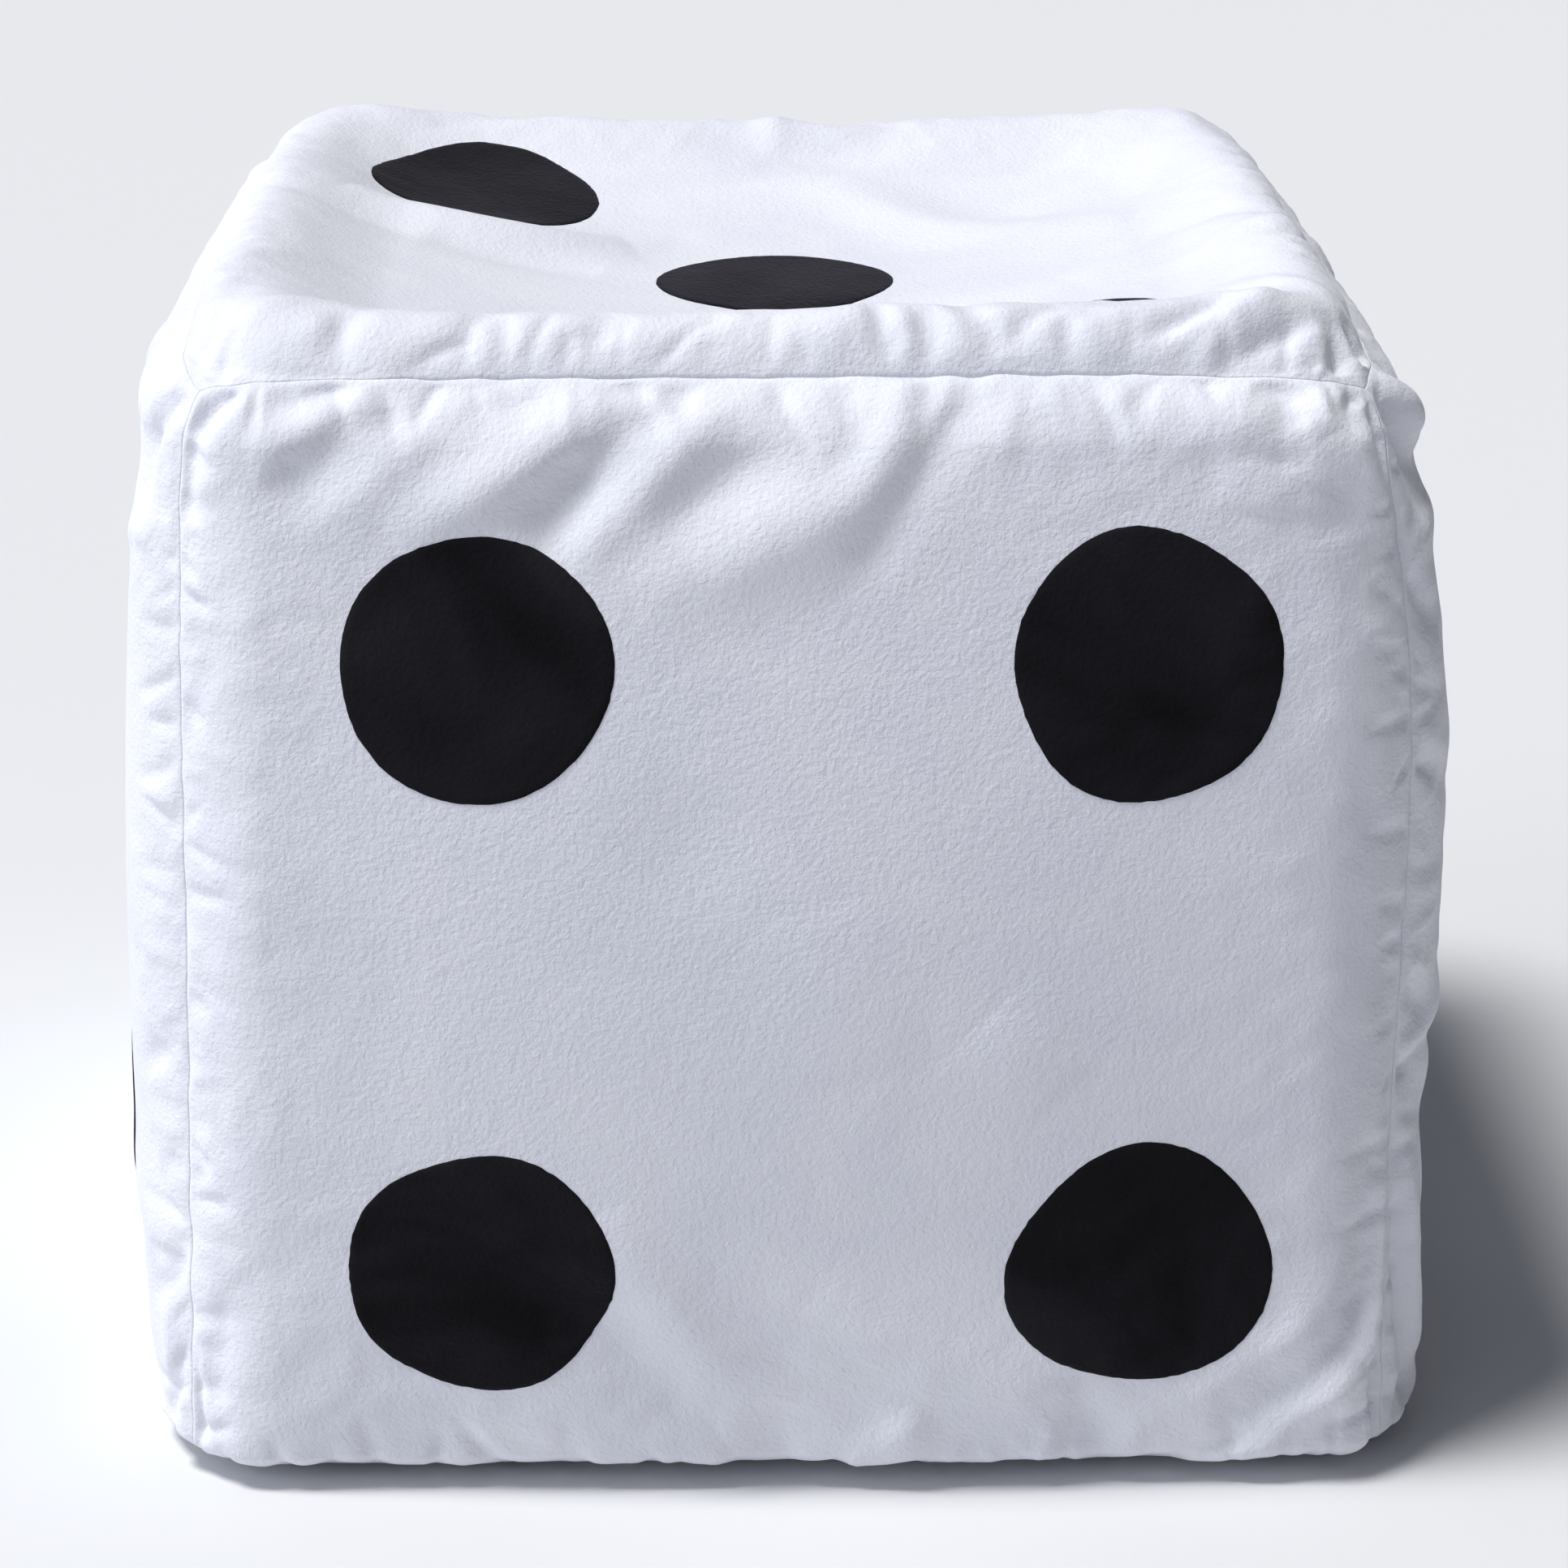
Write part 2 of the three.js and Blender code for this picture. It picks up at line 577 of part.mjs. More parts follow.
function webGeometry(outline, holes) {
  const shape = new THREE.Shape(outline.map(([x, y]) => new THREE.Vector2(x, y)));
  for (const [x, y] of holes) {
    const hole = new THREE.Path();
    hole.absarc(x, y, WEB_HOLE_RADIUS, 0, 2 * Math.PI, true);
    shape.holes.push(hole);
  }
  const geometry = new THREE.ExtrudeGeometry(shape, {
    depth: WEB_THICKNESS,
    bevelEnabled: false,
    curveSegments: ROUND_SEGMENTS / 2,
  });
  geometry.translate(0, 0, -WEB_THICKNESS / 2);
  geometry.rotateX(Math.PI / 2);
  return geometry;
}

// Upright webs hold the walls in: one from front to back, and two halves from side to side.
function buildWebs() {
  const centre = HALF[Z];
  const holes = [[-WEB_HOLE_OFFSET, centre], [WEB_HOLE_OFFSET, centre]];
  const middle = webGeometry(webOutline(FACES.front, FACES.back), holes);
  middle.rotateZ(Math.PI / 2);
  addMesh('tie_web_middle', middle, 'bladder_vinyl');
  const sideways = solidFrom(webGeometry(webOutline(FACES.left, FACES.right), holes));
  const clear = WEB_THICKNESS / 2 + SEAM_GAP;
  const reach = 2 * HALF[X];
  for (const [name, low, high] of [['left', -reach, -clear], ['right', clear, reach]]) {
    const part = boxSolid([low, -WEB_THICKNESS, 0], [high, WEB_THICKNESS, 2 * reach]);
    addMesh(`tie_web_${name}`, toGeometry(sideways.intersect(part)), 'bladder_vinyl');
  }
}

buildCover();
buildZipChain();
buildZipSlider();
buildZipPull();
buildLabel();
const valve = valveFrame();
buildBladder(valve);
buildValve(valve);
buildWebs();

export default die;
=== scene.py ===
"""Looks of the giant yard die: a plush zipped cover over an air bladder. Blender 4.5, metres."""

import json
import math

import bmesh
import bpy
import numpy as np
from mathutils import Matrix, Vector


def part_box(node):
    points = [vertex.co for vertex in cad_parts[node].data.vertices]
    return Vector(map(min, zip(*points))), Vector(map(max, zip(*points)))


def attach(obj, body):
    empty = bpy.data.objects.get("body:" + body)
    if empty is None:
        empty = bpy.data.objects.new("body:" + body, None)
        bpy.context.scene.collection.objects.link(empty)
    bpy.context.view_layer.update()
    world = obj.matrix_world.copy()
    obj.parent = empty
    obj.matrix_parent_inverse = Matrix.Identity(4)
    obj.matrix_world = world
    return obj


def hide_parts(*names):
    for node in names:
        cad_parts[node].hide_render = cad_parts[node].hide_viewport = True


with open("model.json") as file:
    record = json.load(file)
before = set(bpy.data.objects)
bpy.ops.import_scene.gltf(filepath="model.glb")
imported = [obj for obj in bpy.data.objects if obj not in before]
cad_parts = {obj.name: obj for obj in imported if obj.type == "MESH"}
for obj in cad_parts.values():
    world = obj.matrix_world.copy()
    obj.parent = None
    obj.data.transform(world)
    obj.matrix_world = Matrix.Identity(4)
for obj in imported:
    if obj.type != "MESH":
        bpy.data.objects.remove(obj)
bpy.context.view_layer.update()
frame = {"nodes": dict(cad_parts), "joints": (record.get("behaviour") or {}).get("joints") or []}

MM = 0.001
ROOT = "die"

# --- driving sizes
# These are the CAD's, apart from the top: its rim and dish are eased here so that they have no crease.
HALF = np.array([275.0, 275.0, 252.0]) * MM
SIDE_BULGE = 23.5 * MM
TOP_DISH = 30 * MM
DISH_SHOULDER = 0.86
TOP_RIM_RISE = 14.5 * MM
RIM_EASE_WIDTH = 0.36
DISH_POWER = 7
# s * (1 - s) ** 2 is at most 4 / 27, so this makes the rim's peak TOP_RIM_RISE.
RIM_PEAK_SCALE = 27 / 4
WIDENING = 0.054
COVER_ROUNDING = dict(inset=0.0, side=57 * MM, top=38 * MM, bottom=18 * MM)
BLADDER_ROUNDING = dict(inset=3.2 * MM, side=75 * MM, top=60 * MM, bottom=40 * MM)
PIP_RADIUS = 56 * MM
USUAL_PIP_SPACING = (0.52, 0.52)
PIP_SPACING = {"front": (0.505, 0.531), "back": (0.52, 0.58)}
FRONT_PIP_SHIFT = (0.036, -0.036)

X, Y, Z = 0, 1, 2
# Each face: the axis of its normal and its sign, then the axes that run across it and up it.
FACES = {
    "front": (Y, -1, X, Z),
    "back": (Y, 1, X, Z),
    "left": (X, -1, Y, Z),
    "right": (X, 1, Y, Z),
    "top": (Z, 1, X, Y),
    "bottom": (Z, -1, X, Y),
}
PIPS = {
    "front": {"upper_left": (-1, 1), "upper_right": (1, 1), "lower_left": (-1, -1), "lower_right": (1, -1)},
    "top": {"back_left": (-1, 1), "centre": (0, 0), "front_right": (0.9, -1.1)},
    "left": {"lower_front": (-1, -1), "upper_back": (1, 1)},
    "right": {
        "upper_front": (-1, 1), "upper_back": (1, 1), "centre": (0, 0),
        "lower_front": (-1, -1), "lower_back": (1, -1),
    },
    "back": {
        "upper_left": (-1, 1), "upper_right": (1, 1), "middle_left": (-1, 0),
        "middle_right": (1, 0), "lower_left": (-1, -1), "lower_right": (1, -1),
    },
    "bottom": {"centre": (0, 0)},
}


def flipped(face):
    """Whether a grid of the face has to be turned over to look outwards."""
    normal, sign = FACES[face][:2]
    return (normal == Y) != (sign < 0)


def add_object(name, data):
    made = bpy.data.objects.new(name, data)
    bpy.context.scene.collection.objects.link(made)
    return made


def circle_angles(count):
    return np.linspace(0, 2 * math.pi, count, endpoint=False)


# --- the smooth cover
def smooth_step(t):
    t = np.clip(t, 0, 1)
    return t * t * (3 - 2 * t)


def face_swell(face, across, up):
    """How far a face stands out of its flat wall. The top has a rim round a dish."""
    normal, sign = FACES[face][:2]
    if normal != Z:
        return SIDE_BULGE * (1 - across ** 2) * (1 - up ** 2)
    if sign < 0:
        return 0 * across
    squareness = (np.abs(across) ** DISH_POWER + np.abs(up) ** DISH_POWER) ** (1 / DISH_POWER)
    from_seam = np.clip(1 - squareness, 0, 1)
    s = np.clip(from_seam / RIM_EASE_WIDTH, 0, 1)
    rim = TOP_RIM_RISE * RIM_PEAK_SCALE * s * (1 - s) ** 2
    return rim - TOP_DISH * smooth_step(from_seam / DISH_SHOULDER)


def smooth_skin(face, across, up, rounding=COVER_ROUNDING):
    """Points of the swollen cube and the outward directions there. across and up run from -1 to 1."""
    normal, sign, across_axis, up_axis = FACES[face]
    half = HALF - rounding["inset"]
    flat = np.zeros(np.shape(across) + (3,))
    flat[..., across_axis] = across * half[across_axis]
    flat[..., up_axis] = up * half[up_axis]
    flat[..., normal] = sign * half[normal]
    radius = np.empty_like(flat)
    radius[...] = rounding["side"]
    radius[..., Z] = np.where(flat[..., Z] > 0, rounding["top"], rounding["bottom"])
    core = np.clip(flat, radius - half, half - radius)
    lean = (flat - core) / radius
    lean /= np.linalg.norm(lean, axis=-1, keepdims=True)
    point = core + radius * lean
    swell = face_swell(face, flat[..., across_axis] / HALF[across_axis], flat[..., up_axis] / HALF[up_axis])
    point[..., normal] += sign * swell
    point[..., Z] += HALF[Z]
    point[..., :2] *= (1 + WIDENING * (0.5 - point[..., Z:] / (2 * HALF[Z])))
    return point, lean


# --- cloth simulation of the cover
SIM_LINES = 57
SIM_FRAMES = 22
SIM_PRESSURE = 3.0
SLACK_BAND = 0.3
SLACK_SHARE = -0.09
SEAM_HOLD = 0.9
FACE_HOLD = 0.25
SIM_CAP = 9 * MM
WELD_STEP = 1e-5
SIM_SEED = 7
SIM_JITTER = 0.4 * MM
HOLD_SPREAD = 0.1
SHORTEST_MOVE = 1e-9


def simulate_cover():
    """Wrinkles of a slack cover held by its seams, as one grid of moves for each face."""
    lines = np.linspace(-1, 1, SIM_LINES)
    up, across = np.meshgrid(lines, lines, indexing="ij")
    grids = {face: smooth_skin(face, across, up)[0] for face in FACES}
    every = np.concatenate([grids[face].reshape(-1, 3) for face in FACES])
    keys = np.round(every / WELD_STEP).astype(np.int64)
    _, first, index = np.unique(keys, axis=0, return_index=True, return_inverse=True)
    index = index.reshape(-1)
    points = every[first]
    faces = []
    count = SIM_LINES
    for number, face in enumerate(FACES):
        ids = index[number * count * count:(number + 1) * count * count].reshape(count, count)
        quads = np.stack([ids[:-1, :-1], ids[:-1, 1:], ids[1:, 1:], ids[1:, :-1]], -1).reshape(-1, 4)
        faces.append(quads[:, ::-1] if flipped(face) else quads)
    mesh = bpy.data.meshes.new("cover_simulation")
    mesh.from_pydata(points.tolist(), [], np.concatenate(faces).tolist())
    cover = add_object("cover_simulation", mesh)

    from_seam = np.minimum(1 - np.abs(across), 1 - np.abs(up)).reshape(-1)
    slack = np.clip(1 - from_seam / SLACK_BAND, 0, 1)
    hold = np.where(from_seam < 0.5 / count, SEAM_HOLD, FACE_HOLD)
    rng = np.random.default_rng(SIM_SEED)
    groups = {name: cover.vertex_groups.new(name=name) for name in ("slack", "hold")}
    for i, spot in enumerate(first):
        position = spot % (count * count)
        groups["slack"].add([i], float(slack[position]), "REPLACE")
        groups["hold"].add([i], float(hold[position] * (1 - HOLD_SPREAD * rng.random())), "REPLACE")
    jitter = rng.normal(0, SIM_JITTER, points.shape)
    mesh.vertices.foreach_set("co", (points + jitter).astype(np.float32).reshape(-1))

    cloth = cover.modifiers.new("cloth", "CLOTH").settings
    cloth.quality = 6
    cloth.mass = 0.25
    cloth.tension_stiffness = 25
    cloth.compression_stiffness = 25
    cloth.shear_stiffness = 12
    cloth.bending_stiffness = 1.2
    cloth.air_damping = 3
    cloth.use_pressure = True
    cloth.uniform_pressure_force = SIM_PRESSURE
    cloth.vertex_group_mass = "hold"
    cloth.pin_stiffness = 1.0
    cloth.vertex_group_shrink = "slack"
    cloth.shrink_min = 0.0
    cloth.shrink_max = SLACK_SHARE
    cloth.effector_weights.gravity = 0
    cover.modifiers["cloth"].collision_settings.use_collision = False
    cover.modifiers["cloth"].point_cache.frame_end = SIM_FRAMES
    scene = bpy.context.scene
    for step in range(1, SIM_FRAMES + 1):
        scene.frame_set(step)
    moved = np.empty(len(points) * 3, np.float32)
    evaluated = cover.evaluated_get(bpy.context.evaluated_depsgraph_get())
    evaluated.data.vertices.foreach_get("co", moved)
    moves = moved.reshape(-1, 3) - points
    size = np.linalg.norm(moves, axis=1, keepdims=True)
    moves *= np.minimum(1, SIM_CAP / np.maximum(size, SHORTEST_MOVE))
    scene.frame_set(1)
    bpy.data.objects.remove(cover)
    bpy.data.meshes.remove(mesh)
    return {
        face: moves[index[n * count * count:(n + 1) * count * count]].reshape(count, count, 3)
        for n, face in enumerate(FACES)
    }


def cubic_weights(places, count):
    """A matrix that reads a row of count values at fractional places, by cubic convolution."""
    matrix = np.zeros((len(places), count))
    spot = (np.asarray(places) + 1) / 2 * (count - 1)
    base = np.clip(np.floor(spot).astype(int), 0, count - 2)
    t = spot - base
    weights = [
        ((-0.5 * t + 1) * t - 0.5) * t,
        (1.5 * t - 2.5) * t * t + 1,
        ((-1.5 * t + 2) * t + 0.5) * t,
        (0.5 * t - 0.5) * t * t,
    ]
    rows = np.arange(len(places))
    for offset, weight in enumerate(weights):
        np.add.at(matrix, (rows, np.clip(base + offset - 1, 0, count - 1)), weight)
    return matrix


# --- folds
# A fold is a line of (across, up) places on its face, then its half width and height in millimetres.
# A ridge has a positive height and a valley a negative one.
FRONT_FOLDS = [
    # the crushed upper left corner
    ([(-0.86, 0.985), (-0.92, 0.93), (-0.955, 0.88)], 9, -10),
    ([(-0.955, 0.9), (-0.965, 0.82), (-0.95, 0.72)], 12, -6),
    ([(-0.82, 0.95), (-0.9, 0.87), (-0.925, 0.76)], 11, 5),
    ([(-0.975, 0.98), (-0.985, 0.9), (-0.97, 0.8)], 6, 4),
    # drape folds that sweep down to the left from the top seam
    ([(-0.65, 0.985), (-0.73, 0.95), (-0.8, 0.925)], 8, -6),
    ([(-0.57, 0.985), (-0.71, 0.9), (-0.83, 0.86)], 12, 5),
    ([(-0.48, 0.985), (-0.66, 0.87), (-0.78, 0.77)], 14, -7),
    ([(-0.42, 0.97), (-0.58, 0.83), (-0.7, 0.74)], 12, 4),
    ([(-0.35, 0.975), (-0.49, 0.88), (-0.61, 0.76)], 12, -6),
    ([(-0.26, 0.96), (-0.34, 0.86), (-0.5, 0.77), (-0.6, 0.72)], 12, 6),
    ([(-0.2, 0.91), (-0.31, 0.8), (-0.39, 0.69)], 13, -9),
    ([(-0.21, 0.99), (-0.29, 0.945)], 6, -3),
    ([(-0.14, 0.98), (-0.185, 0.93)], 7, -3.5),
    ([(-0.1, 0.93), (-0.22, 0.79), (-0.33, 0.66)], 10, 4),
    ([(0.04, 0.87), (-0.09, 0.8), (-0.19, 0.7)], 14, -6.5),
    # the broad bright ridge and the valleys on each side of it
    ([(0.12, 0.99), (0.11, 0.87), (0.04, 0.78)], 10, -6),
    ([(0.17, 1.0), (0.14, 0.84), (0.03, 0.74), (-0.24, 0.62)], 18, 9),
    ([(0.3, 0.965), (0.19, 0.8), (0.1, 0.66)], 10, -5),
    ([(0.26, 0.93), (0.21, 0.84)], 5, -2.5),
    # softer folds on the right half
    ([(0.57, 0.975), (0.68, 0.965)], 12, -4),
    ([(0.56, 0.95), (0.66, 0.915), (0.76, 0.9)], 13, 4.5),
    ([(0.735, 0.99), (0.775, 0.95), (0.8, 0.89)], 8, -6),
    ([(0.8, 0.95), (0.84, 0.88)], 12, 4),
    ([(0.94, 0.96), (0.9, 0.92), (0.87, 0.885)], 7, -7),
    ([(0.95, 0.94), (0.985, 0.86), (0.99, 0.79)], 13, -10),
    ([(0.9, 0.93), (0.93, 0.84), (0.955, 0.7)], 10, 5),
    ([(0.74, 0.83), (0.73, 0.74)], 15, 4),
    ([(0.85, 0.8), (0.86, 0.7)], 13, -3),
    # the lower left corner
    ([(-0.995, -0.96), (-0.975, -0.88), (-0.98, -0.76)], 5, -5),
    ([(-0.88, -0.93), (-0.95, -0.84), (-0.97, -0.7)], 8, 3.5),
    ([(-0.67, -0.74), (-0.47, -0.76)], 15, -2.5),
    # soft folds at the foot of the face
    ([(-0.42, -0.5), (-0.28, -0.68), (-0.12, -0.9)], 15, -5),
    ([(-0.3, -0.46), (-0.08, -0.78)], 14, 4.5),
    ([(0.03, -0.62), (0.3, -0.78), (0.45, -0.8)], 17, 4.5),
    ([(0.44, -0.8), (0.5, -0.97)], 10, -5),
    ([(-0.05, -0.98), (0.0, -0.82)], 12, -4.5),
    ([(-0.75, -0.97), (-0.55, -0.9), (-0.3, -0.96)], 14, -4),
    ([(0.1, -0.97), (0.22, -0.84)], 10, 4),
    # long folds that gather into the lower right corner
    ([(0.985, -0.4), (0.97, -0.6), (0.92, -0.77), (0.72, -0.93)], 10, 9),
    ([(0.955, -0.46), (0.89, -0.68), (0.68, -0.86)], 11, -6),
    ([(0.95, -0.83), (0.925, -0.93), (0.87, -0.99)], 6, 4.5),
    ([(0.96, -0.82), (0.97, -0.97)], 5, -6),
    ([(0.9, -0.56), (0.8, -0.72), (0.58, -0.84)], 12, 4),
    ([(0.99, -0.62), (0.985, -0.74), (0.95, -0.86)], 5, -6),
    ([(0.8, -0.9), (0.6, -0.985)], 6, 4),
    ([(0.72, -0.9), (0.54, -0.98)], 6, -4),
    ([(0.86, -0.86), (0.7, -0.95)], 7, -3.5),
    # faint creases on the flat of the face
    ([(0.3, -0.1), (0.42, -0.24)], 18, 2),
    ([(-0.1, 0.3), (-0.2, 0.1)], 24, -2),
    ([(0.05, 0.1), (0.12, -0.2)], 26, 1.6),
    ([(-0.8, 0.2), (-0.84, -0.1)], 24, 2),
    ([(0.86, 0.3), (0.9, 0.0)], 18, -2.5),
]
TOP_FOLDS = [
    # the rim stands a little higher on the right and sags in the middle of the back
    ([(0.0, -0.87), (0.5, -0.87), (0.97, -0.88)], 30, 4),
    ([(-0.6, 0.86), (0.05, 0.88), (0.7, 0.86)], 36, -7),
    # folds that cross the rim above the front seam
    ([(-0.7, -0.97), (-0.66, -0.84)], 8, -3.5),
    ([(-0.5, -0.98), (-0.45, -0.82)], 9, -3),
    ([(-0.3, -0.98), (-0.26, -0.84)], 8, -2.5),
    ([(0.15, -0.98), (0.14, -0.84)], 5, -3.5),
    ([(0.23, -0.98), (0.22, -0.86)], 6, -3),
    ([(0.33, -0.97), (0.4, -0.88), (0.5, -0.82)], 7, -4.5),
    ([(0.36, -0.93), (0.52, -0.78)], 8, 3.5),
    ([(0.55, -0.95), (0.7, -0.84)], 6, -4.5),
    ([(0.62, -0.97), (0.78, -0.82)], 9, 4),
    ([(0.68, -0.98), (0.86, -0.86)], 6, -4.5),
    ([(0.9, -0.97), (0.87, -0.84)], 7, -6),
    ([(0.97, -0.9), (0.9, -0.8)], 8, -6),
    ([(-0.93, -0.96), (-0.86, -0.86)], 7, -6),
    ([(-0.97, -0.85), (-0.86, -0.78)], 9, -4.5),
    # long soft folds across the dished middle
    ([(-0.75, 0.28), (-0.5, 0.2), (-0.25, 0.25)], 20, 9),
    ([(-0.6, 0.1), (-0.3, 0.05)], 20, -4),
    ([(-0.2, -0.35), (0.1, -0.25), (0.4, -0.3)], 22, -5),
    ([(0.1, 0.6), (0.35, 0.3), (0.65, 0.2)], 22, 5),
    ([(-0.15, 0.8), (0.1, 0.72), (0.3, 0.8)], 18, -4),
    ([(0.5, -0.2), (0.8, -0.05)], 18, 4),
]
RIGHT_FOLDS = [
    ([(-0.97, 0.96), (-0.9, 0.86), (-0.86, 0.7)], 12, -8),
    ([(-0.9, 0.97), (-0.8, 0.85)], 10, 5),
    ([(-0.98, 0.6), (-0.86, 0.5)], 9, -4),
    ([(-0.98, 0.3), (-0.84, 0.22)], 9, -4),
    ([(-0.98, -0.1), (-0.86, -0.2)], 10, -4),
    ([(-0.96, -0.5), (-0.9, -0.75), (-0.84, -0.95)], 8, -6),
    ([(-0.92, -0.45), (-0.84, -0.75), (-0.78, -0.95)], 9, 5),
    ([(-0.85, -0.6), (-0.74, -0.9)], 9, -4),
]
LEFT_FOLDS = [
    ([(-0.97, 0.96), (-0.88, 0.85), (-0.84, 0.7)], 10, -6),
    ([(-0.9, 0.97), (-0.8, 0.84)], 9, 4),
    ([(-0.97, -0.8), (-0.88, -0.93)], 7, -4),
    ([(-0.98, -0.6), (-0.86, -0.7)], 7, -3),
]
# The front's folds are softened: each is made a little wider and lower than it is written above.
FRONT_FOLD_WIDER = 1.12
FRONT_FOLD_LOWER = 0.7
SOFT_FRONT_FOLDS = [
    (line, FRONT_FOLD_WIDER * width, FRONT_FOLD_LOWER * height) for line, width, height in FRONT_FOLDS
]
HAND_FOLDS = {"front": SOFT_FRONT_FOLDS, "top": TOP_FOLDS, "right": RIGHT_FOLDS, "left": LEFT_FOLDS}

# Seeded folds for each face: how many from the corners, how many from the seams, and their height.
SEEDED_FOLDS = {
    "front": (2, 8, 2.0),
    "back": (14, 26, 4.5),
    "left": (8, 16, 3.2),
    "right": (8, 22, 4.0),
    "top": (6, 12, 3.0),
    "bottom": (8, 12, 1.5),
}
CORNERS = ((-1, -1), (1, -1), (-1, 1), (1, 1))
CORNER_FOLD_ANGLE = (0.12, 1.45)
CORNER_FOLD_REACH = (0.22, 0.6)
CORNER_FOLD_INSET = (0.03, 0.1)
CORNER_FOLD_BEND = 0.03
CORNER_FOLD_WIDTH = (8, 16)
CORNER_FOLD_SHARE = (0.6, 1.2)
SEAM_FOLD_END = 0.85
SEAM_FOLD_START = 0.98
SEAM_FOLD_REACH = (0.12, 0.42)
SEAM_FOLD_SLANT = 0.22
SEAM_FOLD_WIDTH = (7, 15)
SEAM_FOLD_SHARE = (0.4, 1.0)
PUCKER_END = 0.93
PUCKER_START = 0.995
PUCKER_LEAN = 0.03
PUCKER_VALLEYS = 0.7
PUCKER_RIDGE = 0.6
PUCKER_SPACING = 15 * MM
PUCKER_SPREAD = (0.6, 1.7)
PUCKER_REACH = (0.05, 0.16)
PUCKER_WIDTH = (2.6, 5.0)
PUCKER_HEIGHT = (0.7, 2.1)
FOLD_SAMPLES = 14
FOLD_END = 0.035
FOLD_TAPER = 0.8


def bend(points, samples):
    """Evenly spread places on a smooth line through a few points."""
    knots = np.asarray(points, float)
    if len(knots) == 2:
        knots = np.stack([knots[0], knots.mean(0), knots[1]])
    place = np.linspace(-1, 1, samples)
    return cubic_weights(place, len(knots)) @ knots


def turned(line, edge):
    """Moves a line from the upper seam of a face to another of its four seams."""
    if edge in (1, 3):
        line = [(up, across) for across, up in line]
    if edge in (2, 3):
        line = [(-across, -up) for across, up in line]
    return line


def seeded_folds(face, rng):
    """Fans of folds out of the corners and slanting folds off the seams."""
    corner_count, seam_count, height = SEEDED_FOLDS[face]
    folds = []
    for i in range(corner_count):
        corner = np.array(CORNERS[i % 4], float)
        angle = rng.uniform(*CORNER_FOLD_ANGLE)
        reach = rng.uniform(*CORNER_FOLD_REACH)
        start = corner * (1 - rng.uniform(*CORNER_FOLD_INSET, 2))
        end = start - corner * reach * np.array([math.cos(angle), math.sin(angle)])
        middle = (start + end) / 2 + rng.normal(0, CORNER_FOLD_BEND, 2)
        sign = 1 if i % 3 else -1
        width = rng.uniform(*CORNER_FOLD_WIDTH)
        folds.append(([start, middle, end], width, sign * height * rng.uniform(*CORNER_FOLD_SHARE)))
    for i in range(seam_count):
        along = rng.uniform(-SEAM_FOLD_END, SEAM_FOLD_END)
        reach = rng.uniform(*SEAM_FOLD_REACH)
        slant = rng.normal(0, SEAM_FOLD_SLANT)
        line = turned([(along, SEAM_FOLD_START), (along + slant, SEAM_FOLD_START - reach)], i % 4)
        sign = 1 if rng.random() < 0.5 else -1
        width = rng.uniform(*SEAM_FOLD_WIDTH)
        folds.append((line, width, sign * height * rng.uniform(*SEAM_FOLD_SHARE)))
    return folds


def seam_puckers(rng):
    """Short gathers along the four seams of a face, square to the stitching."""
    folds = []
    for edge in range(4):
        along = -PUCKER_END
        while along < PUCKER_END:
            along += PUCKER_SPACING * rng.uniform(*PUCKER_SPREAD) / HALF[X]
            reach = rng.uniform(*PUCKER_REACH)
            lean = rng.normal(0, PUCKER_LEAN)
            line = turned([(along, PUCKER_START), (along + lean, PUCKER_START - reach)], edge)
            sign = -1 if rng.random() < PUCKER_VALLEYS else PUCKER_RIDGE
            folds.append((line, rng.uniform(*PUCKER_WIDTH), sign * rng.uniform(*PUCKER_HEIGHT)))
    return folds


def fold_heights(folds, flat):
    """The summed height of the folds, in metres, at the places of a face that is laid flat."""
    height = np.zeros(flat.shape[:-1])
    for line, width, peak in folds:
        reach = width * MM
        path = bend(line, FOLD_SAMPLES) * flat_scale(flat)
        low = path.min(0) - 3 * reach
        high = path.max(0) + 3 * reach
        inside = np.all((flat > low) & (flat < high), axis=-1)
        spots = flat[inside]
        if not len(spots):
            continue
        starts, steps = path[:-1], path[1:] - path[:-1]
        offset = spots[:, None] - starts
        share = np.clip((offset * steps).sum(-1) / (steps ** 2).sum(-1), 0, 1)
        gap = np.linalg.norm(offset - share[..., None] * steps, axis=-1)
        nearest = gap.argmin(1)
        rows = np.arange(len(spots))
        run = (nearest + share[rows, nearest]) / (len(path) - 1)
        taper = np.sin(math.pi * (FOLD_END + (1 - 2 * FOLD_END) * run)) ** FOLD_TAPER
        height[inside] += peak * MM * taper * np.exp(-(gap[rows, nearest] / reach) ** 2)
    return height


def flat_scale(flat):
    """Half the size of the face that the places lie on."""
    return np.abs(flat).reshape(-1, 2).max(0)


# --- lopsidedness
# The cover hangs unevenly on its bladder. Each pull has a place, a reach along X, Y and Z, and a move.
PULLS = [
    ((280, 0, 485), (90, 600, 100), (-9, 0, -2)),
    ((275, -270, 490), (80, 80, 80), (-5, 4, -4)),
    ((295, 0, 150), (90, 600, 190), (-6, 0, 0)),
    ((262, -268, 330), (70, 70, 190), (9, 0, 0)),
    ((-268, -268, 230), (60, 60, 500), (5, 0, 0)),
    ((-262, -262, 490), (60, 60, 60), (3, 4, -3)),
    ((-40, -240, 520), (330, 50, 60), (0, 0, -3)),
]


def lopsided(point):
    """Adds the pulls to places on the cover."""
    moved = point.copy()
    for place, reach, move in PULLS:
        offset = (point - np.array(place) * MM) / (np.array(reach) * MM)
        moved += np.exp(-(offset ** 2).sum(-1))[..., None] * np.array(move) * MM
    return moved


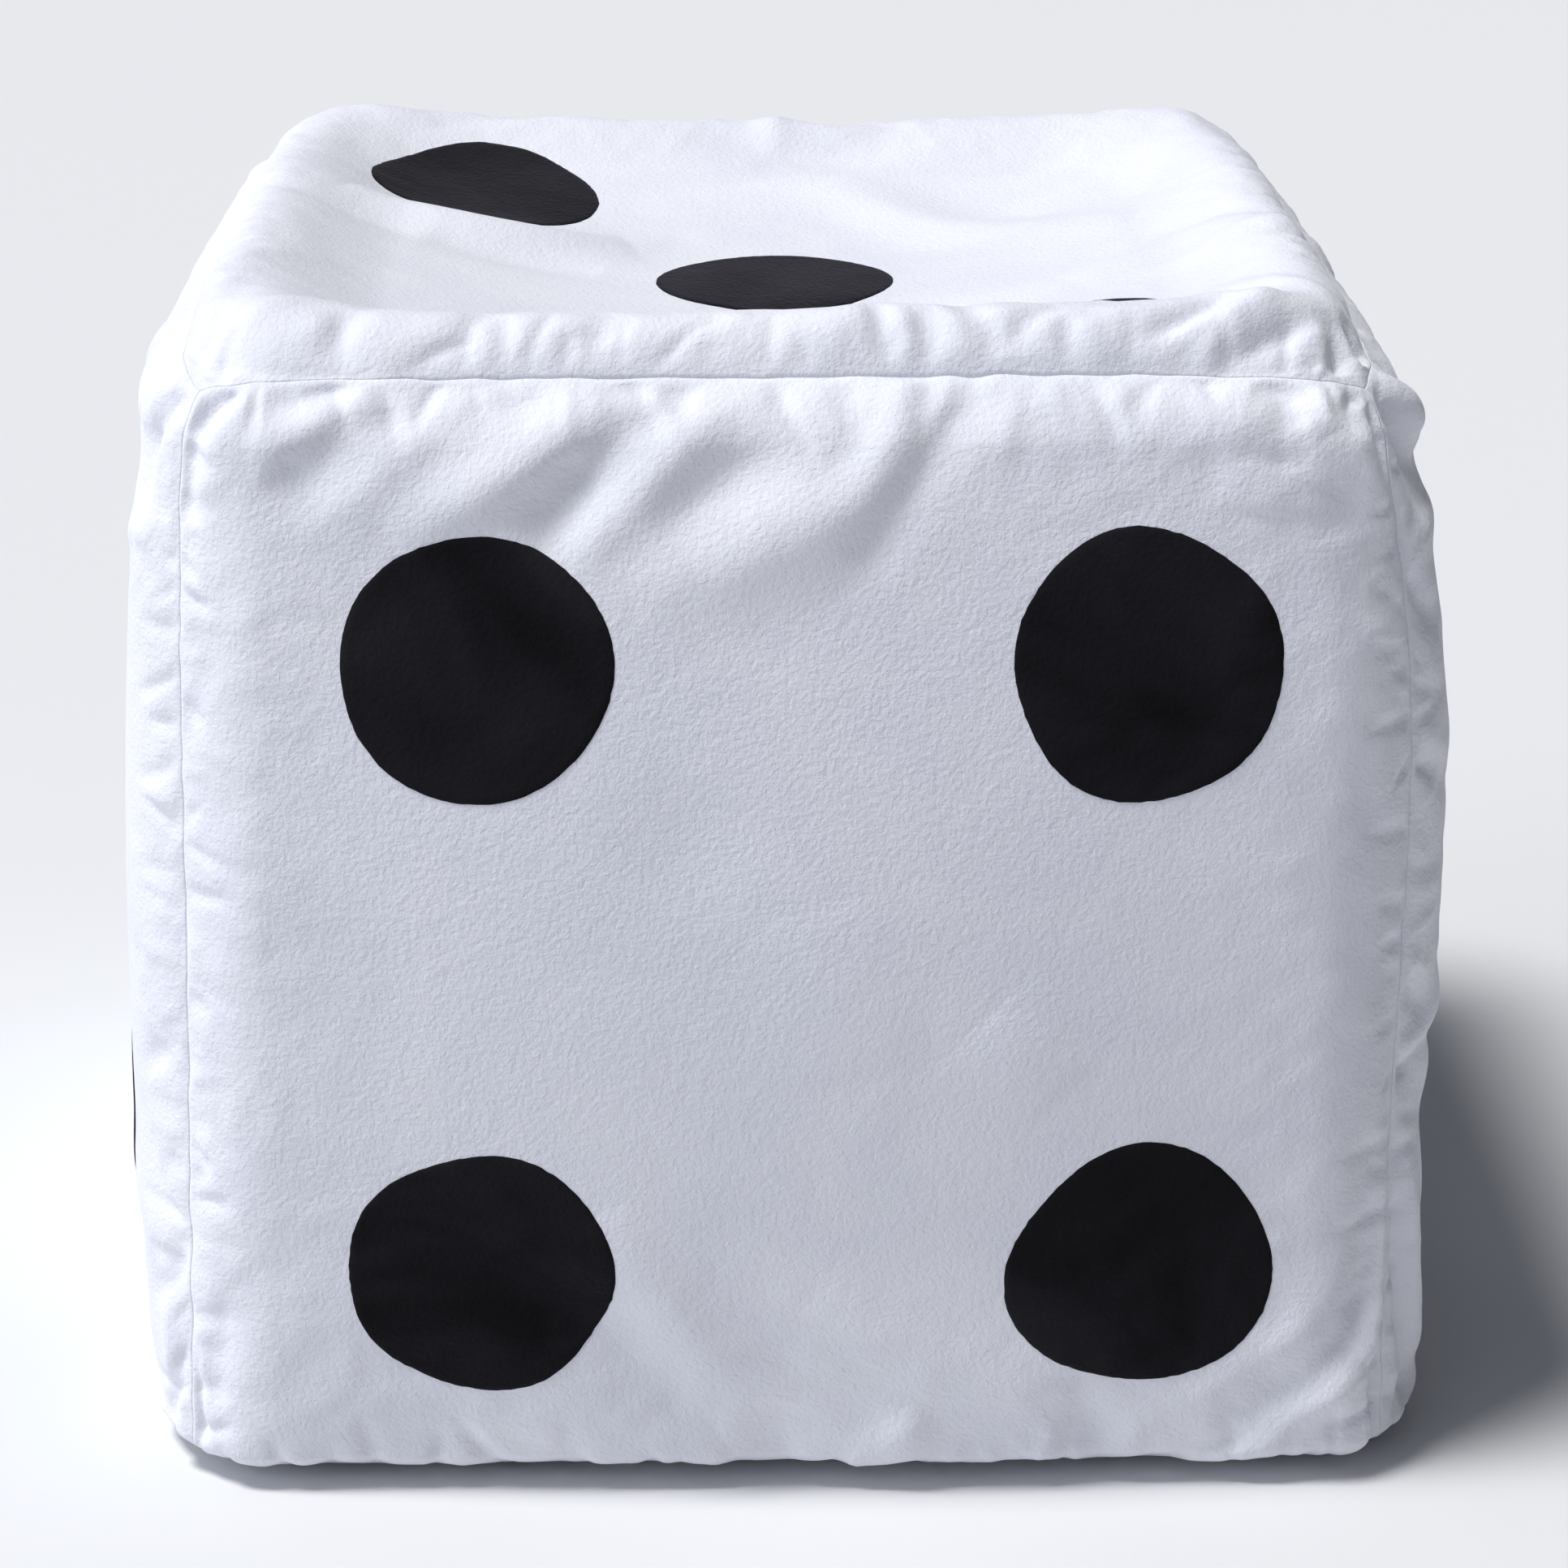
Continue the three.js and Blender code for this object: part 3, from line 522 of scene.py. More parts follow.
# --- the finished cover surface
PANEL_LINES = 233
LINE_CROWDING = 0.12
SEAM_DIP = 0.9 * MM
SEAM_DIP_WIDTH = 0.03
FOLD_SEAM_FADE = 0.018
SIM_GAIN = 0.7
SIM_REACH = 0.3
FOLD_SEED = 100
FLOOR_CLEARANCE = 0.2 * MM
BOTTOM_FLAT_FROM = 0.12
BOTTOM_REST = 0.3 * MM
ZIP_OUTWARDS = (-1, 1, 0)
ZIP_START = 50 * MM
ZIP_LENGTH = 390 * MM
ZIP_SLOT_EXTRA = 8 * MM
ZIP_SLOT_EASE = 4 * MM
ZIP_EDGE_HALF = 4.5 * MM
ZIP_DRAW_START = 0.7
ZIP_DRAW_WIDTH = 0.3
ZIP_CALM_WIDTH = 0.1
VALVE_PLACE = (-0.54, -0.54)
VALVE_CALM_WIDTH = 0.16
VALVE_CALM = 0.8


def panel_lines():
    """The grid lines of a panel, crowded towards its seams."""
    even = np.linspace(-1, 1, PANEL_LINES)
    return (1 + LINE_CROWDING) * even - LINE_CROWDING * even ** 3


def zip_axes():
    """The zip's directions across, out and along. Along is the slider's joint axis."""
    joint = next(j for j in frame["joints"] if j["name"] == "zip_slide")
    along = Vector(joint["axis"]).normalized()
    out = Vector(ZIP_OUTWARDS)
    out = (out - along * out.dot(along)).normalized()
    across = out.cross(along)
    return across, out, along


def zip_share(height):
    """How much of the zip's opening there is at a height: 1 along the slot and 0 beyond its ends."""
    low = (height - (ZIP_START - ZIP_SLOT_EXTRA - ZIP_SLOT_EASE)) / ZIP_SLOT_EASE
    high = (ZIP_START + ZIP_LENGTH + ZIP_SLOT_EXTRA + ZIP_SLOT_EASE - height) / ZIP_SLOT_EASE
    return smooth_step(np.minimum(low, high))


def hold_back(face, across, up):
    """How much of the folds is kept: less along the zip and over the valve."""
    keep = np.ones_like(across)
    if face == "back":
        keep *= 1 - np.exp(-((1 + across) / ZIP_CALM_WIDTH) ** 2)
        spread = ((across - VALVE_PLACE[0]) ** 2 + (up - VALVE_PLACE[1]) ** 2) / VALVE_CALM_WIDTH ** 2
        keep *= 1 - VALVE_CALM * np.exp(-spread)
    if face == "left":
        keep *= 1 - np.exp(-((1 - across) / ZIP_CALM_WIDTH) ** 2)
    return keep


def cover_surface(face, moves):
    """The final grid of one panel, as places and outward directions."""
    lines = panel_lines()
    up, across = np.meshgrid(lines, lines, indexing="ij")
    if face == "back":
        across = slotted(across, up, -1)
    if face == "left":
        across = slotted(across, up, 1)
    point, out = smooth_skin(face, across, up)
    flat = np.stack([across * HALF[FACES[face][2]], up * HALF[FACES[face][3]]], -1)
    rng = np.random.default_rng(FOLD_SEED + list(FACES).index(face))
    folds = HAND_FOLDS.get(face, []) + seeded_folds(face, rng)
    height = fold_heights(folds, flat)
    height += fold_heights(seam_puckers(rng), flat)
    from_seam = np.minimum(1 - np.abs(across), 1 - np.abs(up))
    height *= 1 - np.exp(-(from_seam / FOLD_SEAM_FADE) ** 2)
    height *= hold_back(face, across, up)
    height -= SEAM_DIP * np.exp(-from_seam / SEAM_DIP_WIDTH)
    if moves is not None:
        weights = cubic_weights(lines, SIM_LINES)
        shift = np.einsum("ij,jkc,lk->ilc", weights, moves[face], weights)
        gain = SIM_GAIN * np.exp(-(from_seam / SIM_REACH) ** 2) * hold_back(face, across, up)
        point = point + gain[..., None] * shift
    point = lopsided(point + out * height[..., None])
    if face == "bottom":
        point[..., Z] = np.where(from_seam > BOTTOM_FLAT_FROM, BOTTOM_REST, point[..., Z])
    point[..., Z] = np.maximum(point[..., Z], FLOOR_CLEARANCE)
    return point, out


def slotted(across, up, side):
    """Draws the grid back from the seam at side, where the zip's slot is."""
    height = HALF[Z] * (1 + up)
    trim = 2 * ZIP_EDGE_HALF / HALF[X] * zip_share(height)
    near = np.clip((side * across - ZIP_DRAW_START) / ZIP_DRAW_WIDTH, 0, 1)
    return across - side * trim * near


# --- mesh helpers
def add_mesh(name, points, faces, material, smooth=True):
    """A mesh object from points and lists of corners."""
    mesh = bpy.data.meshes.new(name)
    mesh.from_pydata(np.asarray(points).tolist(), [], faces)
    if smooth:
        mesh.polygons.foreach_set("use_smooth", [True] * len(mesh.polygons))
    mesh.materials.append(material)
    return add_object(name, mesh)


def new_object(name, points, faces, material, smooth=True):
    """A mesh object from points and an array of faces, checked for bad ones."""
    made = add_mesh(name, points, np.asarray(faces).tolist(), material, smooth)
    made.data.validate()
    return made


def grid_faces(rows, columns, start=0, flip=False):
    ids = np.arange(rows * columns).reshape(rows, columns) + start
    quads = np.stack([ids[:-1, :-1], ids[:-1, 1:], ids[1:, 1:], ids[1:, :-1]], -1).reshape(-1, 4)
    return quads[:, ::-1] if flip else quads


def finish_piece(made, body, node):
    """Puts a piece on its body and hides the CAD node that it stands for."""
    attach(made, body)
    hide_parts(node)


# --- materials
def new_material(name):
    material = bpy.data.materials.new(name)
    material.use_nodes = True
    nodes = material.node_tree.nodes
    return material, nodes, material.node_tree.links, nodes["Principled BSDF"]


def set_inputs(node, **values):
    """Sets sockets by name, with _ for a space."""
    for socket, value in values.items():
        node.inputs[socket.replace("_", " ")].default_value = value


def noise(nodes, links, coordinates, scale, detail=2.0, roughness=0.5, distortion=0.0):
    texture = nodes.new("ShaderNodeTexNoise")
    set_inputs(texture, Scale=scale, Detail=detail, Roughness=roughness, Distortion=distortion)
    links.new(coordinates, texture.inputs["Vector"])
    return texture.outputs["Fac"]


def ramp(nodes, links, value, stops):
    made = nodes.new("ShaderNodeValToRGB")
    elements = made.color_ramp.elements
    elements[0].position, elements[0].color = stops[0][0], (*stops[0][1], 1)
    elements[1].position, elements[1].color = stops[-1][0], (*stops[-1][1], 1)
    for place, colour in stops[1:-1]:
        elements.new(place).color = (*colour, 1)
    links.new(value, made.inputs["Fac"])
    return made.outputs["Color"]


def bump(nodes, links, height, strength, distance, below=None):
    made = nodes.new("ShaderNodeBump")
    set_inputs(made, Strength=strength, Distance=distance)
    links.new(height, made.inputs["Height"])
    if below is not None:
        links.new(below, made.inputs["Normal"])
    return made.outputs["Normal"]


def velour(name, dark, light, nap_strength, sheen, sheen_tint, sheen_roughness):
    """Short pile: a pebbled nap, fine fibres, and a painted sheen: the colour is lighter in large noise
    patches, where brushed pile would catch the light.
    """
    material, nodes, links, shader = new_material(name)
    coordinates = nodes.new("ShaderNodeTexCoord").outputs["Object"]
    # painted sheen: large noise patches turn the colour from dark to light, standing in for light caught by
    # the pile
    painted_sheen_patches = noise(nodes, links, coordinates, 9, 3, 0.6, 0.8)
    links.new(ramp(nodes, links, painted_sheen_patches, [(0.35, dark), (0.72, light)]), shader.inputs["Base Color"])
    nap = noise(nodes, links, coordinates, 400, 3, 0.6, 0.25)
    fibre = noise(nodes, links, coordinates, 1700, 2, 0.6)
    brushed = noise(nodes, links, coordinates, 55, 3, 0.55, 0.6)
    normal = bump(nodes, links, brushed, 0.3 * nap_strength, 2 * MM)
    normal = bump(nodes, links, nap, nap_strength, 0.8 * MM, normal)
    normal = bump(nodes, links, fibre, 0.5 * nap_strength, 0.12 * MM, normal)
    links.new(normal, shader.inputs["Normal"])
    set_inputs(shader, Roughness=0.95, Specular_IOR_Level=0.12, Sheen_Weight=sheen,
               Sheen_Roughness=sheen_roughness, Sheen_Tint=(*sheen_tint, 1))
    return material


def vinyl(name, colour, roughness):
    """Thin film: a faint haze, slack ripples and a soft gloss."""
    material, nodes, links, shader = new_material(name)
    coordinates = nodes.new("ShaderNodeTexCoord").outputs["Object"]
    haze = noise(nodes, links, coordinates, 14, 3)
    darker = tuple(0.88 * c for c in colour)
    links.new(ramp(nodes, links, haze, [(0.3, darker), (0.7, colour)]), shader.inputs["Base Color"])
    ripple = noise(nodes, links, coordinates, 45, 2, 0.5, 1.5)
    links.new(bump(nodes, links, ripple, 0.3, 1 * MM), shader.inputs["Normal"])
    shader.inputs["Roughness"].default_value = roughness
    return material


def woven(name, colour, scale):
    """A tight weave of two crossing waves with a little fluff."""
    material, nodes, links, shader = new_material(name)
    coordinates = nodes.new("ShaderNodeTexCoord").outputs["Object"]
    waves = []
    for direction in ("DIAGONAL", "Z"):
        wave = nodes.new("ShaderNodeTexWave")
        wave.bands_direction = direction
        set_inputs(wave, Scale=scale, Distortion=0.6)
        links.new(coordinates, wave.inputs["Vector"])
        waves.append(wave.outputs["Fac"])
    join = nodes.new("ShaderNodeMath")
    join.operation = "MULTIPLY"
    links.new(waves[0], join.inputs[0])
    links.new(waves[1], join.inputs[1])
    darker = tuple(0.8 * c for c in colour)
    threads = ramp(nodes, links, join.outputs[0], [(0.1, darker), (0.8, colour)])
    links.new(threads, shader.inputs["Base Color"])
    links.new(bump(nodes, links, join.outputs[0], 0.5, 0.2 * MM), shader.inputs["Normal"])
    set_inputs(shader, Roughness=0.85, Sheen_Weight=0.2)
    return material


def enamel(name, colour):
    """White enamel on die-cast metal, slightly worn and dulled by handling."""
    material, nodes, links, shader = new_material(name)
    coordinates = nodes.new("ShaderNodeTexCoord").outputs["Object"]
    wear = noise(nodes, links, coordinates, 220, 4, 0.7)
    links.new(
        ramp(nodes, links, wear, [(0.3, tuple(0.75 * c for c in colour)), (0.55, colour)]),
        shader.inputs["Base Color"],
    )
    dull = ramp(nodes, links, wear, [(0.2, (0.5, 0.5, 0.5)), (0.8, (0.28, 0.28, 0.28))])
    links.new(dull, shader.inputs["Roughness"])
    links.new(bump(nodes, links, wear, 0.15, 0.1 * MM), shader.inputs["Normal"])
    shader.inputs["Metallic"].default_value = 0.35
    return material


# Each velour's second, lighter colour is its painted sheen, laid on in noise patches.
WHITE_VELOUR = velour("white_velour", (0.735, 0.745, 0.815), (0.80, 0.81, 0.865), 0.85, 0.2, (1, 1, 1), 0.5)
BLACK_VELOUR = velour("black_velour", (0.0035, 0.003, 0.0045), (0.016, 0.015, 0.019), 0.9, 0.2,
                      (0.75, 0.72, 0.8), 0.35)
BLADDER_VINYL = vinyl("bladder_vinyl", (0.75, 0.77, 0.8), 0.3)
VALVE_VINYL = vinyl("valve_vinyl", (0.84, 0.86, 0.89), 0.4)
ZIP_TAPE = woven("zip_tape", (0.88, 0.88, 0.9), 900)
ZIP_COIL = vinyl("zip_coil", (0.9, 0.9, 0.9), 0.35)
ZIP_METAL = enamel("zip_metal", (0.82, 0.82, 0.83))
LABEL_SATIN = woven("label_satin", (0.93, 0.93, 0.93), 1500)


# --- cover panels
HEM_STEPS = ((0.05 * MM, 0.6 * MM), (0.15 * MM, 2.5 * MM), (0.3 * MM, 7 * MM))


def build_panel(face, surface):
    """One velour panel with its seam allowance turned in all round."""
    point, out = surface
    count = PANEL_LINES
    flip = flipped(face)
    points = [point.reshape(-1, 3)]
    faces = [grid_faces(count, count, 0, flip)]
    ids = np.arange(count * count).reshape(count, count)
    ring = np.concatenate([ids[0, :-1], ids[:-1, -1], ids[-1, :0:-1], ids[:0:-1, 0]])
    flat_points, flat_out = point.reshape(-1, 3)[ring], out.reshape(-1, 3)[ring]
    middle = point.reshape(-1, 3).mean(0)
    previous = ring
    start = count * count
    for inwards, depth in HEM_STEPS:
        towards = middle - flat_points
        towards -= flat_out * (towards * flat_out).sum(-1, keepdims=True)
        towards /= np.linalg.norm(towards, axis=-1, keepdims=True)
        hem = flat_points + towards * inwards - flat_out * depth
        hem[:, Z] = np.maximum(hem[:, Z], FLOOR_CLEARANCE)
        points.append(hem)
        new = np.arange(len(ring)) + start
        quads = np.stack([previous, new, np.roll(new, -1), np.roll(previous, -1)], -1)
        faces.append(quads[:, ::-1] if flip else quads)
        previous = new
        start += len(ring)
    panel = new_object(f"velour_{face}", np.concatenate(points), np.concatenate(faces), WHITE_VELOUR)
    finish_piece(panel, ROOT, f"cover_{face}")


def read_grid(grid, across, up):
    """Reads a panel's grid at fractional places, between its four nearest points."""
    lines = panel_lines()
    spot = np.arange(PANEL_LINES)
    column = np.interp(across, lines, spot)
    row = np.interp(up, lines, spot)
    low_row = np.clip(np.floor(row).astype(int), 0, PANEL_LINES - 2)
    low_column = np.clip(np.floor(column).astype(int), 0, PANEL_LINES - 2)
    v = (row - low_row)[..., None]
    u = (column - low_column)[..., None]
    return (
        grid[low_row, low_column] * (1 - v) * (1 - u) + grid[low_row, low_column + 1] * (1 - v) * u
        + grid[low_row + 1, low_column] * v * (1 - u) + grid[low_row + 1, low_column + 1] * v * u
    )


def grid_normals(point, face):
    """Outward directions of the finished surface."""
    rows = np.gradient(point, axis=0)
    columns = np.gradient(point, axis=1)
    normal = np.cross(columns, rows)
    normal /= np.linalg.norm(normal, axis=-1, keepdims=True)
    axis, sign = FACES[face][:2]
    return normal if sign * normal[..., axis].mean() > 0 else -normal


# --- pips
PIP_SPOKES = 120
PIP_RINGS = 30
PIP_PROUD = 0.7 * MM
PIP_EDGE = ((1.0, 0.55), (1.006, 0.2), (1.008, -0.9))
# How each pip's cut outline leaves the circle: {waves round it: (share of the radius, phase)}.
PIP_OUTLINES = {
    ("front", "upper_left"): {2: (0.012, 0.3), 3: (0.012, 1.0), 5: (0.006, 0.5)},
    ("front", "upper_right"): {2: (0.02, 3.14), 3: (0.01, 0.35), 5: (0.013, 2.36)},
    ("front", "lower_left"): {3: (0.012, 2.6), 5: (0.016, 0.0)},
    ("top", "back_left"): {3: (0.06, -1.57)},
    ("front", "lower_right"): {2: (0.01, 1.3), 3: (0.042, 4.45), 4: (0.01, 0.2)},
}
PIP_RAGGED = 0.0022
PIP_USUAL_WAVES = (2, 3, 4)
PIP_USUAL_SHARE = (0.004, 0.018)
PIP_PHASE_RANGE = (0, 6.28)
PIP_SEED = 31


def pip_outline(face, name, angle, rng):
    """A pip's cut outline at each angle, as a share of its radius."""
    outline = np.ones_like(angle)
    waves = PIP_OUTLINES.get((face, name))
    if waves is None:
        waves = {n: (rng.uniform(*PIP_USUAL_SHARE), rng.uniform(*PIP_PHASE_RANGE)) for n in PIP_USUAL_WAVES}
    for count, (share, phase) in waves.items():
        outline += share * np.cos(count * angle - phase)
    fuzz = rng.normal(0, PIP_RAGGED, len(angle))
    return outline + fuzz


def build_pip(face, name, place, surface, normals, rng):
    """A disc of black velour let into the panel, flush with its pile."""
    angle = circle_angles(PIP_SPOKES)
    outline = pip_outline(face, name, angle, rng)
    across_axis, up_axis = FACES[face][2:]
    centre = (np.array(place[0]), np.array(place[1]))
    points = [read_grid(surface, *centre) + PIP_PROUD * read_grid(normals, *centre)]
    levels = [(i / PIP_RINGS, 1.0) for i in range(1, PIP_RINGS)] + list(PIP_EDGE)
    for share, proud in levels:
        reach = PIP_RADIUS * share * (1 + (outline - 1) * share)
        across = place[0] + reach * np.cos(angle) / HALF[across_axis]
        up = place[1] + reach * np.sin(angle) / HALF[up_axis]
        ring = read_grid(surface, across, up) + PIP_PROUD * proud * read_grid(normals, across, up)
        points.append(ring)
    stacked = np.concatenate([points[0][None]] + points[1:])
    stacked[:, Z] = np.maximum(stacked[:, Z], 0)
    spokes = np.arange(PIP_SPOKES)
    following = (spokes + 1) % PIP_SPOKES
    triangles = [[0, 1 + i, 1 + j] for i, j in zip(spokes, following)]
    quads = []
    for level in range(len(levels) - 1):
        inner = 1 + level * PIP_SPOKES
        outer = inner + PIP_SPOKES
        quads += [[inner + i, outer + i, outer + j, inner + j] for i, j in zip(spokes, following)]
    faces = triangles + quads
    if flipped(face):
        faces = [corners[::-1] for corners in faces]
    pip = add_mesh(f"plush_pip_{face}_{name}", stacked, faces, BLACK_VELOUR)
    finish_piece(pip, ROOT, f"pip_{face}_{name}")


def pip_place(face, where):
    """A pip's middle on its face, from its column and row."""
    column, row = PIP_SPACING.get(face, USUAL_PIP_SPACING)
    shift = FRONT_PIP_SHIFT if face == "front" else (0, 0)
    return where[0] * column + shift[0], where[1] * row + shift[1]


# --- bladder and tie webs
BLADDER_LINES = 61
BLADDER_DEPTH = 15 * MM
WEB_DEPTH = 17 * MM
WEB_THICKNESS = 0.6 * MM
WEB_HOLE_RADIUS = 35 * MM
WEB_HOLE_OFFSET = 135 * MM
WEB_HOLE_STEPS = 48
WEB_GAP = 1.2 * MM
WEB_LINES = 41
WEB_END = 0.96
VALVE_RISE_WIDTH = 0.17
VALVE_OPENING_RADIUS = 13 * MM
VINYL_THICKNESS = 0.4 * MM


def bladder_point(face, across, up, depth):
    """Places on the bladder, at a depth under the cover's smooth skin."""
    point, out = smooth_skin(face, across, up, BLADDER_ROUNDING)
    return lopsided(point - out * depth[..., None])


def build_bladder_wall(face):
    lines = np.linspace(-1, 1, BLADDER_LINES)
    up, across = np.meshgrid(lines, lines, indexing="ij")
    depth = np.full_like(across, BLADDER_DEPTH)
    if face == "back":
        spread = (across - VALVE_PLACE[0]) ** 2 + (up - VALVE_PLACE[1]) ** 2
        depth *= 1 - np.exp(-(spread / VALVE_RISE_WIDTH ** 2) ** 2)
    point = bladder_point(face, across, up, depth)
    faces = grid_faces(BLADDER_LINES, BLADDER_LINES, 0, flipped(face))
    if face == "back":
        spread = spread.reshape(-1)
        # only whole grid cells inside the opening go, so it is one small square
        hole = (VALVE_OPENING_RADIUS / HALF[X]) ** 2
        faces = faces[~np.all(spread[faces] < hole, axis=1)]
    wall = new_object(f"vinyl_{face}", point.reshape(-1, 3), faces, BLADDER_VINYL)
    thick = wall.modifiers.new("film", "SOLIDIFY")
    thick.thickness = VINYL_THICKNESS
    thick.offset = -1
    finish_piece(wall, ROOT, f"bladder_{face}")


def web_outline(low, high, side_axis):
    """The inside of the bladder on a middle plane, as (outwards, height) pairs."""
    lines = np.linspace(-WEB_END, WEB_END, WEB_LINES)
    none = np.zeros_like(lines)
    depth = np.full_like(lines, WEB_DEPTH)

    def level(face, places):
        across, up = (places, none) if side_axis == X else (none, places)
        return bladder_point(face, across, up, depth)

    rising = bladder_point(high, none, lines, depth)
    over = level("top", lines[::-1])
    falling = bladder_point(low, none, lines[::-1], depth)
    under = level("bottom", lines)
    ring = np.concatenate([rising, over, falling, under])
    return ring[:, [side_axis, Z]]


def build_web(name, outline, holes, side_axis):
    """A flat vinyl web with round air holes."""
    curve = bpy.data.curves.new(name, "CURVE")
    curve.dimensions = "2D"
    curve.fill_mode = "BOTH"
    curve.extrude = WEB_THICKNESS / 2
    rings = [outline]
    for hole in holes:
        angle = circle_angles(WEB_HOLE_STEPS)
        rings.append(np.array(hole) + WEB_HOLE_RADIUS * np.stack([np.cos(angle), np.sin(angle)], -1))
    for ring in rings:
        spline = curve.splines.new("POLY")
        spline.points.add(len(ring) - 1)
        for spot, (x, y) in zip(spline.points, ring):
            spot.co = (x, y, 0, 1)
        spline.use_cyclic_u = True
    source = add_object(name + "_curve", curve)
    bpy.context.view_layer.update()
    mesh = bpy.data.meshes.new_from_object(source)
    bpy.data.objects.remove(source)
    stand = Matrix.Rotation(math.pi / 2, 4, "X")
    if side_axis == Y:
        stand = Matrix.Rotation(math.pi / 2, 4, "Z") @ stand
    mesh.transform(stand)
    mesh.materials.clear()
    mesh.materials.append(BLADDER_VINYL)
    return add_object(name, mesh)


def build_webs():
    """One web across the middle, and one on each side of it."""
    centre = HALF[Z]
    middle = web_outline("front", "back", Y)
    holes = [(-WEB_HOLE_OFFSET, centre), (WEB_HOLE_OFFSET, centre)]
    finish_piece(build_web("web_middle", middle, holes, Y), ROOT, "tie_web_middle")
    across = web_outline("left", "right", X)
    for name, sign in (("right", 1), ("left", -1)):
        half = across[sign * across[:, 0] > -WEB_GAP / 2]
        half[:, 0] = np.maximum(sign * half[:, 0], WEB_GAP) * sign
        hole = [(sign * WEB_HOLE_OFFSET, centre)]
        finish_piece(build_web(f"web_{name}", half, hole, X), ROOT, f"tie_web_{name}")


# --- zip
COIL_PITCH = 1.7 * MM
COIL_THREAD = 0.36 * MM
COIL_STEPS = 10
COIL_PROFILE = 6
COIL_MIDDLE = 1.75 * MM
COIL_REACH = 1.55 * MM
COIL_OUT = -2.75 * MM
COIL_HEIGHT = 1.0 * MM
COIL_START = 0.4
GRIP_LOW = (-2.0, 1.5)
GRIP_HIGH = (2.0, 2.05)
GRIP_WIDTH = 0.9
GRIP_ROUNDING = 0.4
BEVEL_STEPS = 3
BEVEL_ANGLE = math.radians(50)


def zip_frame():
    """The zip's frame as a matrix, with its origin at the start of the chain on the cover's seam."""
    across, out, along = zip_axes()
    start = smooth_skin("back", np.array(-1.0), np.array((ZIP_START - HALF[Z]) / HALF[Z]))[0]
    matrix = Matrix((across, out, along)).transposed().to_4x4()
    matrix.translation = Vector(start)
    return matrix


def sweep(points, radius, sides):
    """A round tube along points, as vertices and faces with capped ends."""
    path = np.asarray(points)
    tangent = np.gradient(path, axis=0)
    tangent /= np.linalg.norm(tangent, axis=1, keepdims=True)
    guide = np.where(np.abs(tangent[:, :1]) < 0.8, [[1.0, 0, 0]], [[0, 1.0, 0]])
    first = np.cross(tangent, guide)
    first /= np.linalg.norm(first, axis=1, keepdims=True)
    second = np.cross(tangent, first)
    angle = circle_angles(sides)
    rings = path[:, None] + radius * (
        np.cos(angle)[None, :, None] * first[:, None] + np.sin(angle)[None, :, None] * second[:, None])
    ids = np.arange(len(path) * sides).reshape(len(path), sides)
    following = np.roll(ids, -1, axis=1)
    quads = np.stack([ids[:-1], following[:-1], following[1:], ids[1:]], -1).reshape(-1, 4).tolist()
    caps = [ids[0, ::-1].tolist(), ids[-1].tolist()]
    return rings.reshape(-1, 3), quads + caps


def build_coil(side, sign, matrix):
    """One row of the nylon coil: an oval helix whose noses reach the middle and mesh with the other row."""
    turns = int(ZIP_LENGTH / COIL_PITCH) - 1
    t = np.linspace(0, turns, turns * COIL_STEPS)
    phase = 0.0 if sign > 0 else 0.5
    across = sign * (COIL_MIDDLE + COIL_REACH * np.cos(2 * math.pi * t))
    out = COIL_OUT + COIL_HEIGHT * np.sin(2 * math.pi * t)
    along = (t + phase + COIL_START) * COIL_PITCH
    points, faces = sweep(np.stack([across, out, along], -1), COIL_THREAD, COIL_PROFILE)
    coil = add_mesh(f"coil_{side}", points, faces, ZIP_COIL)
    coil.data.transform(matrix)
    finish_piece(coil, ROOT, f"zip_coil_{side}")


CORNER_STEPS = 6


def rounded_outline(low, high, radius):
    """The outline of a block seen along the outward direction, with round corners."""
    points = []
    for quarter, (x, z) in enumerate(((1, 1), (0, 1), (0, 0), (1, 0))):
        centre = ((low[0], high[0])[x] + radius * (1 - 2 * x), (low[2], high[2])[z] + radius * (1 - 2 * z))
        for step in range(CORNER_STEPS):
            angle = (quarter + step / (CORNER_STEPS - 1)) * math.pi / 2
            points.append((centre[0] + radius * math.cos(angle), centre[1] + radius * math.sin(angle)))
    return points


def block_object(name, low, high, radius):
    """A block from low to high in millimetres, with its four outward edges rounded."""
    bm = bmesh.new()
    rings = []
    for out in (low[1], high[1]):
        outline = rounded_outline(low, high, radius)
        rings.append([bm.verts.new((x * MM, out * MM, z * MM)) for x, z in outline])
    bm.faces.new(rings[0])
    bm.faces.new(rings[1][::-1])
    count = len(rings[0])
    for i in range(count):
        j = (i + 1) % count
        bm.faces.new((rings[0][i], rings[1][i], rings[1][j], rings[0][j]))
    bmesh.ops.recalc_face_normals(bm, faces=bm.faces)
    mesh = bpy.data.meshes.new(name)
    bm.to_mesh(mesh)
    bm.free()
    return add_object(name, mesh)


def blocks_object(name, blocks, cuts, bevel, matrix):
    """Blocks in the zip's frame joined into one enamelled casting, with holes cut and edges rounded."""
    parts = [block_object(name, *block) for block in blocks]
    holes = [block_object(name, *cut) for cut in cuts]
    base = parts[0]
    for other in parts[1:] + holes:
        join = base.modifiers.new("join", "BOOLEAN")
        join.operation = "DIFFERENCE" if other in holes else "UNION"
        join.solver = "EXACT"
        join.object = other
    edge = base.modifiers.new("round", "BEVEL")
    edge.width = bevel * MM
    edge.segments = BEVEL_STEPS
    edge.limit_method = "ANGLE"
    edge.angle_limit = BEVEL_ANGLE
    bpy.context.view_layer.update()
    evaluated = base.evaluated_get(bpy.context.evaluated_depsgraph_get())
    mesh = bpy.data.meshes.new_from_object(evaluated)
    for part in parts + holes:
        bpy.data.objects.remove(part)
    mesh.transform(matrix)
    mesh.materials.clear()
    mesh.materials.append(ZIP_METAL)
    return add_object(name, mesh)


